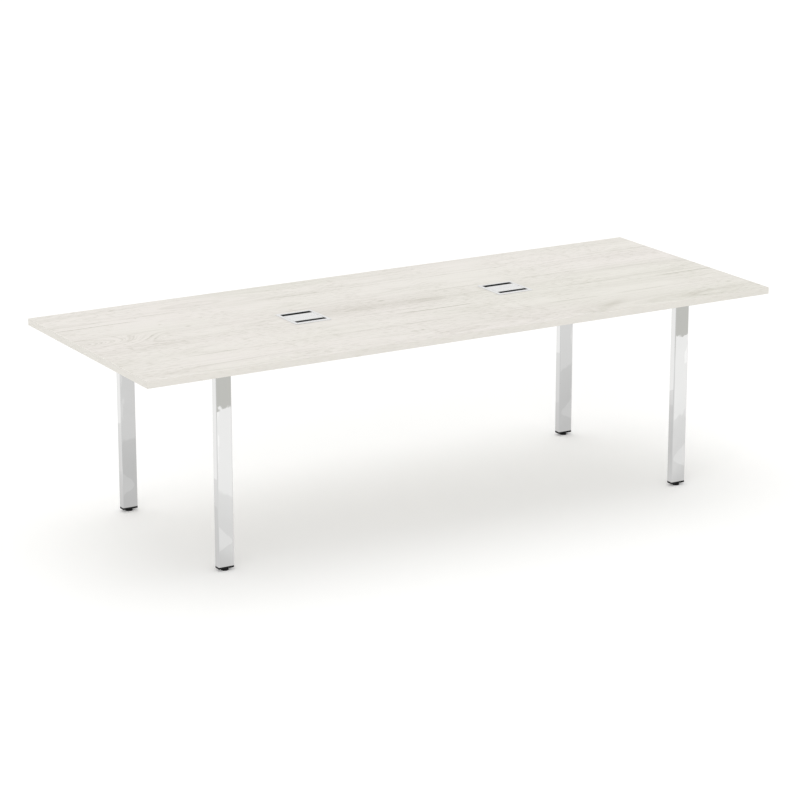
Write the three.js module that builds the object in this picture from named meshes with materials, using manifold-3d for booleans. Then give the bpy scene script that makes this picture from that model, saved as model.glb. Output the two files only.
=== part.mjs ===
// Conference table: a light oak top on two chromed leg frames, with two cable hatches let into the top.
// Millimetres, +Z up. The origin is on the floor under the middle of the table, +X runs along its length
// and the front faces -Y.
import * as THREE from "three";
import { mergeGeometries, mergeVertices } from "three/addons/utils/BufferGeometryUtils.js";
import Module from "manifold-3d";

const wasm = await Module();
wasm.setup();

// Table top: a faced board with a thick band glued round its edges
const TABLE_HEIGHT = 750;
const TOP_LENGTH = 2580;
const TOP_DEPTH = 980;
const TOP_THICKNESS = 25;
const BAND_THICKNESS = 2;
const BAND_ROUNDING = 1.2;

// Leg frames: rectangular tube, mitred where a leg meets its crossbar
const LEG_TUBE_WIDTH = 60;
const LEG_TUBE_DEPTH = 30;
const LEG_TUBE_WALL = 2;
const LEG_TUBE_ROUNDING = 3;
const LEG_FROM_SHORT_EDGE = 330;
const LEG_FROM_LONG_EDGE = 105;

// Stretchers: tube on edge between the two leg frames, with a bolted plate welded to each end
const STRETCHER_WIDTH = 30;
const STRETCHER_HEIGHT = 60;
const STRETCHER_WALL = 2;
const STRETCHER_ROUNDING = 3;
const STRETCHER_FROM_MIDDLE = 200;
const PLATE_THICKNESS = 4;
const PLATE_MARGIN = 16;
const PLATE_FOOT_MARGIN = 4;
const PLATE_EDGE_INSET = 1;
const PLATE_VENT_DIAMETER = 12;
const PLATE_VENT_FROM_BOTTOM = 16;

// Bolts between plate and crossbar, and the drawn bushes in the crossbar wall that they screw into
const BOLT_DIAMETER = 8;
const BOLT_GAP_TO_TUBE = 17;
const BOLT_REACH = 9;
const BOLT_HEAD_DIAMETER = 14;
const BOLT_HEAD_HEIGHT = 4.4;
const BOLT_SOCKET_FLATS = 5;
const BOLT_SOCKET_DEPTH = 2.6;
const BUSH_WALL = 2;
const BUSH_LENGTH = 5;

// Screws that hold the top to the crossbars
const SCREW_DIAMETER = 6;
const SCREW_HEAD_DIAMETER = 13;
const SCREW_HEAD_HEIGHT = 4;
const SCREW_DEPTH_IN_TOP = 16;
const SCREW_POINT = 4;
const SCREW_FROM_LEG = 85;

// Leg end caps, with a nut pressed into a pocket of the boss
const CAP_RIM = 7;
const CAP_RIM_CHAMFER = 0.8;
const CAP_PLUG_DEPTH = 22;
const CAP_WALL = 2.5;
const CAP_RIB = 2.5;
const CAP_BOSS_WALL = 2;
const NUT_FLATS = 13;
const NUT_HEIGHT = 6.5;

// Levelling feet: a moulded pad round the head of a threaded spindle
const PAD_DIAMETER = 28;
const PAD_TOP_DIAMETER = 20;
const PAD_HEIGHT = 8;
const PAD_RIM_HEIGHT = 3;
const PAD_CHAMFER = 1;
const PAD_FLOOR = 2.4;
const PAD_GAP_TO_CAP = 0.5;
const SPINDLE_DIAMETER = 8;
const SPINDLE_HEAD_DIAMETER = 14;
const SPINDLE_HEAD_HEIGHT = 2.4;
const SPINDLE_ABOVE_NUT = 15;
const SPINDLE_CHAMFER = 1;

// Cable hatches: a frame in a cut-out, with two flaps that hinge back to back along its middle
const HATCH_FROM_MIDDLE = 430;
const HATCH_OPENING_LENGTH = 122;
const HATCH_OPENING_DEPTH = 130;
const HATCH_END_BORDER = 12.5;
const HATCH_SIDE_BORDER = 15;
const HATCH_CORNER_ROUNDING = 5;
const FLANGE_THICKNESS = 2.4;
const FLANGE_BEVEL = 1.6;
const COLLAR_WALL = 3;
const COLLAR_BELOW_TOP = 13;
const CUT_OUT_CLEARANCE = 1;
const FLAP_PLATE = 2.5;
const FLAP_LIP_WIDTH = 3;
const FLAP_LIP_DEPTH = 5;
const FLAP_BEVEL = 0.8;
const FLAP_END_CLEARANCE = 0.8;
const FLAP_SEAM = 0.5;
const PIN_DIAMETER = 2.5;
const PIN_COVER = 0.5;
const LEDGE_REACH = 4;
const LEDGE_HEIGHT = 4;
const LEDGE_CLEARANCE = 3;

// Cable brushes in the slot between a flap's free edge and the frame
const BRUSH_SLOT = 24;
const BRUSH_BACKING_THICKNESS = 3;
const BRUSH_BACKING_HEIGHT = 6;
const BRUSH_BACKING_DROP = 0.6;
const BRUSH_SHELF_REACH = 4;
const BRUSH_SHELF_HEIGHT = 2.5;
const BRISTLE_WIDTH = 0.7;
const BRISTLE_PITCH = 1.4;
const BRISTLE_TIP_CLEARANCE = 1;

// Clamps that pull a hatch frame down from under the top
const CLAMP_THICKNESS = 2;
const CLAMP_WIDTH = 26;
const CLAMP_REACH = 20;

// The gap left between faces that meet, and the count of sides of round pieces, shanks and holes
const FIT = 0.3;
const ROUND_SIDES = 20;
const SHANK_SIDES = 16;
const HOLE_SIDES = 12;

// Heights and places that follow from the sizes above
const topUnderside = TABLE_HEIGHT - TOP_THICKNESS;
const frameTop = topUnderside - FIT;
const crossbarBottom = frameTop - LEG_TUBE_DEPTH;
const legX = TOP_LENGTH / 2 - LEG_FROM_SHORT_EDGE;
const legY = TOP_DEPTH / 2 - LEG_FROM_LONG_EDGE;
const capBottom = PAD_HEIGHT + PAD_GAP_TO_CAP;
const capRimTop = capBottom + CAP_RIM;
const capTop = capRimTop + CAP_PLUG_DEPTH;
const legBottom = capRimTop + FIT;
const bandInset = BAND_THICKNESS + FIT;
const boltHole = BOLT_DIAMETER / 2 + FIT;
const boltFromStretcher = STRETCHER_WIDTH / 2 + BOLT_GAP_TO_TUBE;
const screwFromMiddle = legY - SCREW_FROM_LEG;

const materials = {
  board: new THREE.MeshStandardMaterial({ color: 0xe6e2da, roughness: 0.5 }),
  band: new THREE.MeshStandardMaterial({ color: 0xe2ddd4, roughness: 0.5 }),
  chrome: new THREE.MeshStandardMaterial({ color: 0xdcdee0, roughness: 0.08, metalness: 1 }),
  greyPaint: new THREE.MeshStandardMaterial({ color: 0x9a9da0, roughness: 0.55, metalness: 0.2 }),
  zinc: new THREE.MeshStandardMaterial({ color: 0xb9bcc0, roughness: 0.35, metalness: 1 }),
  blackPlastic: new THREE.MeshStandardMaterial({ color: 0x161616, roughness: 0.6 }),
  silver: new THREE.MeshStandardMaterial({ color: 0xd2d3d5, roughness: 0.3, metalness: 1 }),
  bristle: new THREE.MeshStandardMaterial({ color: 0x101010, roughness: 0.7 }),
};

const table = new THREE.Group();

// Where the two in-plane directions and the length of an extrusion point, for each axis it can run along
const AXIS_FRAMES = {
  x: [new THREE.Vector3(0, 1, 0), new THREE.Vector3(0, 0, 1), new THREE.Vector3(1, 0, 0)],
  y: [new THREE.Vector3(1, 0, 0), new THREE.Vector3(0, 0, 1), new THREE.Vector3(0, -1, 0)],
  z: [new THREE.Vector3(1, 0, 0), new THREE.Vector3(0, 1, 0), new THREE.Vector3(0, 0, 1)],
};

function turnTo(geometry, axis) {
  return geometry.applyMatrix4(new THREE.Matrix4().makeBasis(...AXIS_FRAMES[axis]));
}

// An outline extruded along an axis, with its middle at the origin.
function extrude(shape, length, axis, curveSegments = 2) {
  const options = { depth: length, bevelEnabled: false, curveSegments };
  return turnTo(new THREE.ExtrudeGeometry(shape, options).translate(0, 0, -length / 2), axis);
}

// A round or many-sided bar along an axis, with its middle at the origin.
function bar(radius, length, axis, sides = ROUND_SIDES) {
  const geometry = new THREE.CylinderGeometry(radius, radius, length, sides).rotateX(Math.PI / 2);
  return turnTo(geometry, axis);
}

function hexBar(flats, length, axis) {
  return bar(flats / 2 / Math.cos(Math.PI / 6), length, axis, 6);
}

// The profile of a domed head, from its rim up to its middle.
function dome(radius, height, steps = 3) {
  return Array.from({ length: steps + 1 }, (_, step) => {
    const angle = (Math.PI / 2) * (step / steps);
    return [step < steps ? radius * Math.cos(angle) : 0, height * Math.sin(angle)];
  });
}

// A profile of [radius, height] points turned about the Z axis.
function turned(points, sides = SHANK_SIDES) {
  const profile = points.map(([radius, height]) => new THREE.Vector2(radius, height));
  return new THREE.LatheGeometry(profile, sides).rotateX(Math.PI / 2);
}

function box(width, depth, height) {
  return new THREE.BoxGeometry(width, depth, height);
}

function polygon(points) {
  return new THREE.Shape(points.map(([x, y]) => new THREE.Vector2(x, y)));
}

// A rectangle with round corners about the origin, as a Shape or as the Path of a hole.
function roundedRectangle(width, depth, radius, Outline = THREE.Shape) {
  const x = width / 2 - radius;
  const y = depth / 2 - radius;
  const outline = new Outline();
  outline.moveTo(x, -y - radius);
  outline.absarc(x, -y, radius, -Math.PI / 2, 0);
  outline.absarc(x, y, radius, 0, Math.PI / 2);
  outline.absarc(-x, y, radius, Math.PI / 2, Math.PI);
  outline.absarc(-x, -y, radius, Math.PI, Math.PI * 1.5);
  return outline;
}

// The section of a rectangular tube, whose inner corners keep a small rounding where its wall is thick.
function tubeSection(width, depth, wall, rounding) {
  const section = roundedRectangle(width, depth, rounding);
  const inside = Math.max(rounding - wall, wall / 4);
  section.holes.push(roundedRectangle(width - 2 * wall, depth - 2 * wall, inside, THREE.Path));
  return section;
}

// A solid block with rounded corners whose top edge is bevelled, standing on z = 0.
function bevelledBlock(width, depth, height, rounding, bevel) {
  const lower = roundedRectangle(width, depth, rounding).getPoints(2);
  const upper = roundedRectangle(width - 2 * bevel, depth - 2 * bevel, rounding).getPoints(2);
  const rings = [
    [lower, 0],
    [lower, height - bevel],
    [upper, height],
  ];
  const positions = rings.flatMap(([ring, z]) => ring.slice(0, -1).flatMap((point) => [point.x, point.y, z]));
  const count = lower.length - 1;
  const triangles = [];
  for (let level = 0; level < rings.length - 1; level++) {
    for (let i = 0; i < count; i++) {
      const a = level * count + i;
      const b = level * count + ((i + 1) % count);
      triangles.push(a, b, b + count, a, b + count, a + count);
    }
  }
  const top = (rings.length - 1) * count;
  for (let i = 1; i < count - 1; i++) {
    triangles.push(0, i + 1, i, top, top + i, top + i + 1);
  }
  const geometry = new THREE.BufferGeometry();
  geometry.setAttribute("position", new THREE.Float32BufferAttribute(positions, 3));
  geometry.setIndex(triangles);
  return geometry;
}

// A closed geometry as a solid that can be cut and joined.
function solid(geometry) {
  const bare = geometry.clone();
  bare.deleteAttribute("normal");
  bare.deleteAttribute("uv");
  const welded = mergeVertices(bare, 1e-4);
  return new wasm.Manifold(
    new wasm.Mesh({
      numProp: 3,
      vertProperties: new Float32Array(welded.attributes.position.array),
      triVerts: new Uint32Array(welded.index.array),
    }),
  );
}

function join(first, ...others) {
  return others.reduce((sum, geometry) => sum.add(solid(geometry)), solid(first));
}

function cut(body, ...tools) {
  return tools.reduce((rest, geometry) => rest.subtract(solid(geometry)), body);
}

function geometryOf(body) {
  const mesh = body.getMesh();
  const geometry = new THREE.BufferGeometry();
  geometry.setAttribute("position", new THREE.BufferAttribute(mesh.vertProperties, 3));
  geometry.setIndex(new THREE.BufferAttribute(mesh.triVerts, 1));
  geometry.computeVertexNormals();
  return geometry;
}

function place(parent, name, geometry, material, [x, y, z] = [0, 0, 0], turn = 0) {
  const mesh = new THREE.Mesh(geometry, material);
  mesh.name = name;
  mesh.position.set(x, y, z);
  mesh.rotation.z = turn;
  parent.add(mesh);
}

const HALF_TURN = Math.PI;

// The front and the back of the table are alike when turned half round, and so are its two ends.
const SIDES = [
  { name: "front", y: -1, turn: 0 },
  { name: "back", y: 1, turn: HALF_TURN },
];
const ENDS = [
  { name: "left", x: -1, turn: 0 },
  { name: "right", x: 1, turn: HALF_TURN },
];

// Hatch sizes that the top, the frame, the flaps and the brushes share, with z = 0 on top of the board
const flangeTop = FIT + FLANGE_THICKNESS;
const pinHole = PIN_DIAMETER / 2 + FIT;
const pinZ = FIT - PIN_COVER - pinHole;
const heelRadius = flangeTop - pinZ;
const pinY = heelRadius + FLAP_SEAM / 2;
const collarLength = HATCH_OPENING_LENGTH + 2 * COLLAR_WALL;
const collarDepth = HATCH_OPENING_DEPTH + 2 * COLLAR_WALL;
const collarBottom = -TOP_THICKNESS - COLLAR_BELOW_TOP;
const flapWidth = HATCH_OPENING_DEPTH / 2 - BRUSH_SLOT - pinY;
const flapLength = HATCH_OPENING_LENGTH - 2 * FLAP_END_CLEARANCE;
const backingTop = flangeTop - BRUSH_BACKING_DROP;
const backingY = HATCH_OPENING_DEPTH / 2 - FIT - BRUSH_BACKING_THICKNESS / 2;

function hatchCentres() {
  return ENDS.map(({ x }) => x * HATCH_FROM_MIDDLE);
}

function topBoard() {
  const board = box(TOP_LENGTH - 2 * bandInset, TOP_DEPTH - 2 * bandInset, TOP_THICKNESS);
  const openings = hatchCentres().map((centre) => {
    const cutOut = roundedRectangle(
      collarLength + 2 * CUT_OUT_CLEARANCE,
      collarDepth + 2 * CUT_OUT_CLEARANCE,
      HATCH_CORNER_ROUNDING,
    );
    return extrude(cutOut, 2 * TOP_THICKNESS, "z").translate(centre, 0, 0);
  });
  const depth = SCREW_DEPTH_IN_TOP + FIT;
  const screwHoles = ENDS.flatMap((end) =>
    SIDES.map((side) => {
      const hole = bar(SCREW_DIAMETER / 2 + FIT, 2 * depth, "z", HOLE_SIDES);
      return hole.translate(end.x * legX, side.y * screwFromMiddle, -TOP_THICKNESS / 2);
    }),
  );
  return geometryOf(cut(solid(board), ...openings, ...screwHoles));
}

// An edge band, with its outer face towards -Y for one that runs along X.
function edgeBand(length, axis) {
  const outer = -BAND_THICKNESS / 2;
  const inner = BAND_THICKNESS / 2;
  const z = TOP_THICKNESS / 2;
  const r = BAND_ROUNDING;
  const section = new THREE.Shape();
  section.moveTo(inner, -z);
  section.lineTo(inner, z);
  section.lineTo(outer + r, z);
  section.absarc(outer + r, z - r, r, Math.PI / 2, Math.PI);
  section.lineTo(outer, -z + r);
  section.absarc(outer + r, -z + r, r, Math.PI, Math.PI * 1.5);
  return extrude(section, length, axis);
}

function addTop() {
  const middle = TABLE_HEIGHT - TOP_THICKNESS / 2;
  place(table, "top_board", topBoard(), materials.board, [0, 0, middle]);
  const longBand = edgeBand(TOP_LENGTH, "x");
  for (const { name, y, turn } of SIDES) {
    const bandY = y * (TOP_DEPTH - BAND_THICKNESS) / 2;
    place(table, `edge_band_${name}`, longBand, materials.band, [0, bandY, middle], turn);
  }
  const shortBand = edgeBand(TOP_DEPTH - 2 * bandInset, "y");
  for (const { name, x, turn } of ENDS) {
    const bandX = x * (TOP_LENGTH - BAND_THICKNESS) / 2;
    place(table, `edge_band_${name}`, shortBand, materials.band, [bandX, 0, middle], turn);
  }
}

// A wedge that cuts the mitre of a front corner, about the middle of that corner. The cut falls from the
// corner's outer top edge to its inner bottom edge, and the wedge lies above it or below it.
function mitreWedge(side, shift) {
  const half = LEG_TUBE_DEPTH / 2;
  const reach = 2 * LEG_TUBE_DEPTH;
  const slope = (y) => half - (y + half) + shift;
  const points = [
    [-half - reach, slope(-half - reach)],
    [half + reach, slope(half + reach)],
    side === "above" ? [half + reach, slope(-half - reach)] : [-half - reach, slope(half + reach)],
  ];
  return extrude(polygon(points), 2 * LEG_TUBE_WIDTH, "x");
}

const mitreShift = (FIT / 2) * Math.SQRT2;

// A front leg, with z = 0 at its bottom.
function leg() {
  const height = frameTop - legBottom;
  const section = tubeSection(LEG_TUBE_WIDTH, LEG_TUBE_DEPTH, LEG_TUBE_WALL, LEG_TUBE_ROUNDING);
  const tube = extrude(section, height, "z").translate(0, 0, height / 2);
  const wedge = mitreWedge("above", -mitreShift).translate(0, 0, height - LEG_TUBE_DEPTH / 2);
  return geometryOf(cut(solid(tube), wedge));
}

// The crossbar of the left frame, about its own middle, with its bolt bushes on the +X wall.
function crossbar() {
  const length = 2 * legY + LEG_TUBE_DEPTH;
  const section = tubeSection(LEG_TUBE_WIDTH, LEG_TUBE_DEPTH, LEG_TUBE_WALL, LEG_TUBE_ROUNDING);
  const tube = extrude(section, length, "y");
  const frontMitre = mitreWedge("below", mitreShift);
  const backMitre = frontMitre.clone().rotateZ(HALF_TURN).translate(0, legY, 0);
  frontMitre.translate(0, -legY, 0);
  const wallX = LEG_TUBE_WIDTH / 2;
  const bushes = boltPlaces().map((y) => {
    const bush = bar(boltHole + BUSH_WALL, BUSH_LENGTH, "x", HOLE_SIDES);
    return bush.translate(wallX - LEG_TUBE_WALL / 2 - BUSH_LENGTH / 2, y, 0);
  });
  const boltHoles = boltPlaces().map((y) => {
    return bar(boltHole, 2 * (LEG_TUBE_WALL + BUSH_LENGTH), "x", HOLE_SIDES).translate(wallX, y, 0);
  });
  const screwHoles = SIDES.map(({ y }) => {
    const hole = bar(SCREW_DIAMETER / 2 + FIT, 2 * LEG_TUBE_DEPTH, "z", HOLE_SIDES);
    return hole.translate(0, y * screwFromMiddle, 0);
  });
  return geometryOf(cut(join(tube, ...bushes), frontMitre, backMitre, ...boltHoles, ...screwHoles));
}

// How far across the table each bolt stands: one on both sides of each stretcher.
function boltPlaces() {
  return SIDES.flatMap((side) =>
    [-boltFromStretcher, boltFromStretcher].map((offset) => side.y * STRETCHER_FROM_MIDDLE + offset),
  );
}

function addLegFrames() {
  const legShape = leg();
  const crossbarShape = crossbar();
  const screwShape = topScrew();
  for (const end of ENDS) {
    for (const side of SIDES) {
      const name = `leg_${side.name}_${end.name}`;
      place(table, name, legShape, materials.chrome, [end.x * legX, side.y * legY, legBottom], side.turn);
      const screwName = `top_screw_${side.name}_${end.name}`;
      const screwPlace = [end.x * legX, side.y * screwFromMiddle, crossbarBottom - FIT];
      place(table, screwName, screwShape, materials.zinc, screwPlace);
    }
    const middle = [end.x * legX, 0, crossbarBottom + LEG_TUBE_DEPTH / 2];
    place(table, `crossbar_${end.name}`, crossbarShape, materials.chrome, middle, end.turn);
  }
}

// A pan-head screw that points up, with z = 0 under its head.
function topScrew() {
  const radius = SCREW_DIAMETER / 2;
  const tip = LEG_TUBE_DEPTH + 2 * FIT + SCREW_DEPTH_IN_TOP;
  const head = dome(SCREW_HEAD_DIAMETER / 2, -SCREW_HEAD_HEIGHT).reverse();
  return turned([...head, [radius, 0], [radius, tip - SCREW_POINT], [0, tip]]);
}

// The stretcher with its end plates, about the middle of the tube.
function stretcher() {
  const plateX = legX - LEG_TUBE_WIDTH / 2 - FIT - PLATE_THICKNESS / 2;
  const section = tubeSection(STRETCHER_WIDTH, STRETCHER_HEIGHT, STRETCHER_WALL, STRETCHER_ROUNDING);
  const tube = extrude(section, 2 * plateX, "x");
  const half = boltFromStretcher + PLATE_MARGIN;
  const foot = STRETCHER_WIDTH / 2 + PLATE_FOOT_MARGIN;
  const z = STRETCHER_HEIGHT / 2;
  const top = z - PLATE_EDGE_INSET;
  const shoulder = Math.max(z - LEG_TUBE_DEPTH, -top + PLATE_EDGE_INSET);
  const rightHalf = [[foot, -top], [half, shoulder], [half, top]];
  const leftHalf = rightHalf.map(([y, height]) => [-y, height]).reverse();
  const plate = polygon([...rightHalf, ...leftHalf]);
  const boltZ = z - LEG_TUBE_DEPTH / 2;
  for (const y of [-1, 1]) {
    const hole = new THREE.Path();
    hole.absarc(y * boltFromStretcher, boltZ, boltHole, 0, 2 * Math.PI);
    plate.holes.push(hole);
  }
  const vent = new THREE.Path();
  vent.absarc(0, -z + PLATE_VENT_FROM_BOTTOM, PLATE_VENT_DIAMETER / 2, 0, 2 * Math.PI);
  plate.holes.push(vent);
  const plates = [-1, 1].map((x) => extrude(plate, PLATE_THICKNESS, "x", 8).translate(x * plateX, 0, 0));
  return geometryOf(join(tube, ...plates));
}

// A button-head bolt that points to -X, with x = 0 under its head.
function bolt() {
  const radius = BOLT_DIAMETER / 2;
  const reach = PLATE_THICKNESS + FIT + BOLT_REACH;
  const head = dome(BOLT_HEAD_DIAMETER / 2, BOLT_HEAD_HEIGHT);
  const body = turned([[0, -reach], [radius, -reach], [radius, 0], ...head]).rotateY(Math.PI / 2);
  const socket = hexBar(BOLT_SOCKET_FLATS, 2 * BOLT_SOCKET_DEPTH, "x").translate(BOLT_HEAD_HEIGHT, 0, 0);
  return geometryOf(cut(solid(body), socket));
}

function addStretchers() {
  const stretcherShape = stretcher();
  const boltShape = bolt();
  const boltX = legX - LEG_TUBE_WIDTH / 2 - FIT - PLATE_THICKNESS - FIT;
  const boltZ = frameTop - LEG_TUBE_DEPTH / 2;
  for (const side of SIDES) {
    const middle = [0, side.y * STRETCHER_FROM_MIDDLE, frameTop - STRETCHER_HEIGHT / 2];
    place(table, `stretcher_${side.name}`, stretcherShape, materials.greyPaint, middle);
  }
  for (const end of ENDS) {
    boltPlaces().forEach((y, index) => {
      const name = `stretcher_bolt_${end.name}_${index + 1}`;
      place(table, name, boltShape, materials.zinc, [end.x * boltX, y, boltZ], end.turn);
    });
  }
}

// A leg end cap, with z = 0 at its bottom: a rim as wide as the tube, and a hollow plug with a ribbed boss.
function legCap() {
  const plugWidth = LEG_TUBE_WIDTH - 2 * LEG_TUBE_WALL - 2 * FIT;
  const plugDepth = LEG_TUBE_DEPTH - 2 * LEG_TUBE_WALL - 2 * FIT;
  const rim = bevelledBlock(LEG_TUBE_WIDTH, LEG_TUBE_DEPTH, CAP_RIM, LEG_TUBE_ROUNDING, CAP_RIM_CHAMFER);
  rim.rotateX(Math.PI).translate(0, 0, CAP_RIM);
  const sink = CAP_WALL / 2;
  const height = CAP_PLUG_DEPTH + sink;
  const middle = CAP_RIM - sink + height / 2;
  const wall = extrude(tubeSection(plugWidth, plugDepth, CAP_WALL, CAP_WALL), height, "z");
  const pocket = NUT_FLATS + 2 * FIT;
  const boss = bar(pocket / 2 / Math.cos(Math.PI / 6) + CAP_BOSS_WALL, height, "z");
  const rib = box(plugWidth - CAP_WALL, CAP_RIB, height);
  const inside = extrude(roundedRectangle(plugWidth, plugDepth, CAP_WALL), height, "z");
  for (const geometry of [wall, boss, rib, inside]) {
    geometry.translate(0, 0, middle);
  }
  const core = solid(boss).intersect(solid(inside)).add(solid(rib)).add(solid(wall));
  const nutPocket = hexBar(pocket, 2 * (NUT_HEIGHT + FIT), "z").translate(0, 0, capTop - capBottom);
  const bore = bar(SPINDLE_DIAMETER / 2 + FIT, 2 * (capTop - capBottom), "z", SHANK_SIDES);
  return geometryOf(cut(core.add(solid(rim)), nutPocket, bore));
}

// A plain hexagon nut, standing on z = 0.
function footNut() {
  const body = hexBar(NUT_FLATS, NUT_HEIGHT, "z");
  const bore = bar(SPINDLE_DIAMETER / 2 + FIT, 2 * NUT_HEIGHT, "z", SHANK_SIDES);
  return geometryOf(cut(solid(body), bore).translate([0, 0, NUT_HEIGHT / 2]));
}

// The spindle of a levelling foot, from its head in the pad to its end above the nut.
function footSpindle() {
  const bottom = PAD_FLOOR + FIT;
  const shoulder = bottom + SPINDLE_HEAD_HEIGHT;
  const radius = SPINDLE_DIAMETER / 2;
  const tip = capTop + SPINDLE_ABOVE_NUT;
  return turned([
    [0, bottom],
    [SPINDLE_HEAD_DIAMETER / 2, bottom],
    [SPINDLE_HEAD_DIAMETER / 2, shoulder],
    [radius, shoulder],
    [radius, tip - SPINDLE_CHAMFER],
    [radius - SPINDLE_CHAMFER, tip],
    [0, tip],
  ]);
}

// The pad of a levelling foot, moulded round the spindle's head.
function footPad() {
  const radius = PAD_DIAMETER / 2;
  const head = SPINDLE_HEAD_DIAMETER / 2 + FIT;
  const neck = SPINDLE_DIAMETER / 2 + FIT;
  const roof = PAD_FLOOR + SPINDLE_HEAD_HEIGHT + 2 * FIT;
  return turned([
    [0, 0],
    [radius - PAD_CHAMFER, 0],
    [radius, PAD_CHAMFER],
    [radius, PAD_RIM_HEIGHT],
    [PAD_TOP_DIAMETER / 2, PAD_HEIGHT],
    [neck, PAD_HEIGHT],
    [neck, roof],
    [head, roof],
    [head, PAD_FLOOR],
    [0, PAD_FLOOR],
  ], ROUND_SIDES);
}

function addFeet() {
  const shapes = [
    ["leg_cap", legCap(), materials.blackPlastic, capBottom],
    ["foot_nut", footNut(), materials.zinc, capTop - NUT_HEIGHT],
    ["foot_spindle", footSpindle(), materials.zinc, 0],
    ["foot_pad", footPad(), materials.blackPlastic, 0],
  ];
  for (const end of ENDS) {
    for (const side of SIDES) {
      for (const [name, shape, material, z] of shapes) {
        const nodeName = `${name}_${side.name}_${end.name}`;
        place(table, nodeName, shape, material, [end.x * legX, side.y * legY, z]);
      }
    }
  }
}

// The hatch frame: a bevelled flange on the board and a collar through it, with ledges for the flap ends,
// shelves for the brushes and holes for the hinge pins.
function hatchFrame() {
  const flange = bevelledBlock(
    HATCH_OPENING_LENGTH + 2 * HATCH_END_BORDER,
    HATCH_OPENING_DEPTH + 2 * HATCH_SIDE_BORDER,
    FLANGE_THICKNESS,
    HATCH_CORNER_ROUNDING,
    FLANGE_BEVEL,
  ).translate(0, 0, FIT);
  const collarTop = FIT + FLANGE_THICKNESS / 2;
  const collarHeight = collarTop - collarBottom;
  const collarOutline = roundedRectangle(collarLength, collarDepth, COLLAR_WALL);
  const collar = extrude(collarOutline, collarHeight, "z").translate(0, 0, collarTop - collarHeight / 2);
  const well = box(HATCH_OPENING_LENGTH, HATCH_OPENING_DEPTH, 4 * collarHeight);
  const pinHoles = SIDES.map(({ y }) => {
    return bar(pinHole, 2 * collarLength, "x", HOLE_SIDES).translate(0, y * pinY, pinZ);
  });
  const shell = cut(join(flange, collar), well, ...pinHoles);

  const ledgeTop = flangeTop - FLAP_PLATE - FIT;
  const ledgeStart = pinY + heelRadius + LEDGE_CLEARANCE;
  const ledgeEnd = pinY + flapWidth - FLAP_LIP_WIDTH - LEDGE_CLEARANCE;
  const sink = COLLAR_WALL / 2;
  const ledges = ENDS.flatMap((end) =>
    SIDES.map((side) => {
      const ledge = box(LEDGE_REACH + sink, ledgeEnd - ledgeStart, LEDGE_HEIGHT);
      const x = end.x * (HATCH_OPENING_LENGTH / 2 + sink / 2 - LEDGE_REACH / 2);
      return ledge.translate(x, side.y * (ledgeStart + ledgeEnd) / 2, ledgeTop - LEDGE_HEIGHT / 2);
    }),
  );
  const shelfTop = backingTop - BRUSH_BACKING_HEIGHT - FIT;
  const shelves = SIDES.map((side) => {
    const shelf = box(HATCH_OPENING_LENGTH + sink, BRUSH_SHELF_REACH + sink, BRUSH_SHELF_HEIGHT);
    const y = side.y * (HATCH_OPENING_DEPTH / 2 + sink / 2 - BRUSH_SHELF_REACH / 2);
    return shelf.translate(0, y, shelfTop - BRUSH_SHELF_HEIGHT / 2);
  });
  return geometryOf([...ledges, ...shelves].reduce((sum, geometry) => sum.add(solid(geometry)), shell));
}

// The front flap, an extruded section about its hinge pin: a round heel, a plate and a downturned finger lip.
function hatchFlap() {
  const plateBottom = heelRadius - FLAP_PLATE;
  const lipBottom = heelRadius - FLAP_LIP_DEPTH;
  const heelEnd = Math.PI - Math.asin(plateBottom / heelRadius);
  const section = new THREE.Shape();
  section.moveTo(0, heelRadius);
  section.absarc(0, 0, heelRadius, Math.PI / 2, heelEnd, true);
  section.lineTo(-flapWidth + FLAP_LIP_WIDTH, plateBottom);
  section.lineTo(-flapWidth + FLAP_LIP_WIDTH, lipBottom);
  section.lineTo(-flapWidth + FLAP_BEVEL, lipBottom);
  section.lineTo(-flapWidth, lipBottom + FLAP_BEVEL);
  section.lineTo(-flapWidth, heelRadius - FLAP_BEVEL);
  section.lineTo(-flapWidth + FLAP_BEVEL, heelRadius);
  const bore = new THREE.Path();
  bore.absarc(0, 0, pinHole, 0, 2 * Math.PI);
  section.holes.push(bore);
  return extrude(section, flapLength, "x", 10);
}

// The front brush: a backing strip with a row of three-sided bristles that reach over the slot.
function hatchBrush() {
  const backingLength = HATCH_OPENING_LENGTH - 2 * FIT;
  const backing = box(backingLength, BRUSH_BACKING_THICKNESS, BRUSH_BACKING_HEIGHT);
  backing.translate(0, -backingY, backingTop - BRUSH_BACKING_HEIGHT / 2);
  const root = -backingY + BRUSH_BACKING_THICKNESS / 4;
  const tip = -HATCH_OPENING_DEPTH / 2 + BRUSH_SLOT - BRISTLE_TIP_CLEARANCE;
  const half = BRISTLE_WIDTH / 2;
  const section = polygon([[-half, -half], [half, -half], [0, half]]);
  const strand = extrude(section, tip - root, "y").translate(0, (root + tip) / 2, 0);
  const count = Math.floor((backingLength - BRISTLE_WIDTH) / BRISTLE_PITCH) + 1;
  const strands = Array.from({ length: count }, (_, index) => {
    const x = (index - (count - 1) / 2) * BRISTLE_PITCH;
    const row = index % 2 ? 1 : 2;
    return strand.clone().translate(x, 0, backingTop - row * 2 * BRISTLE_WIDTH);
  });
  return geometryOf(join(backing, mergeGeometries(strands)));
}

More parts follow.
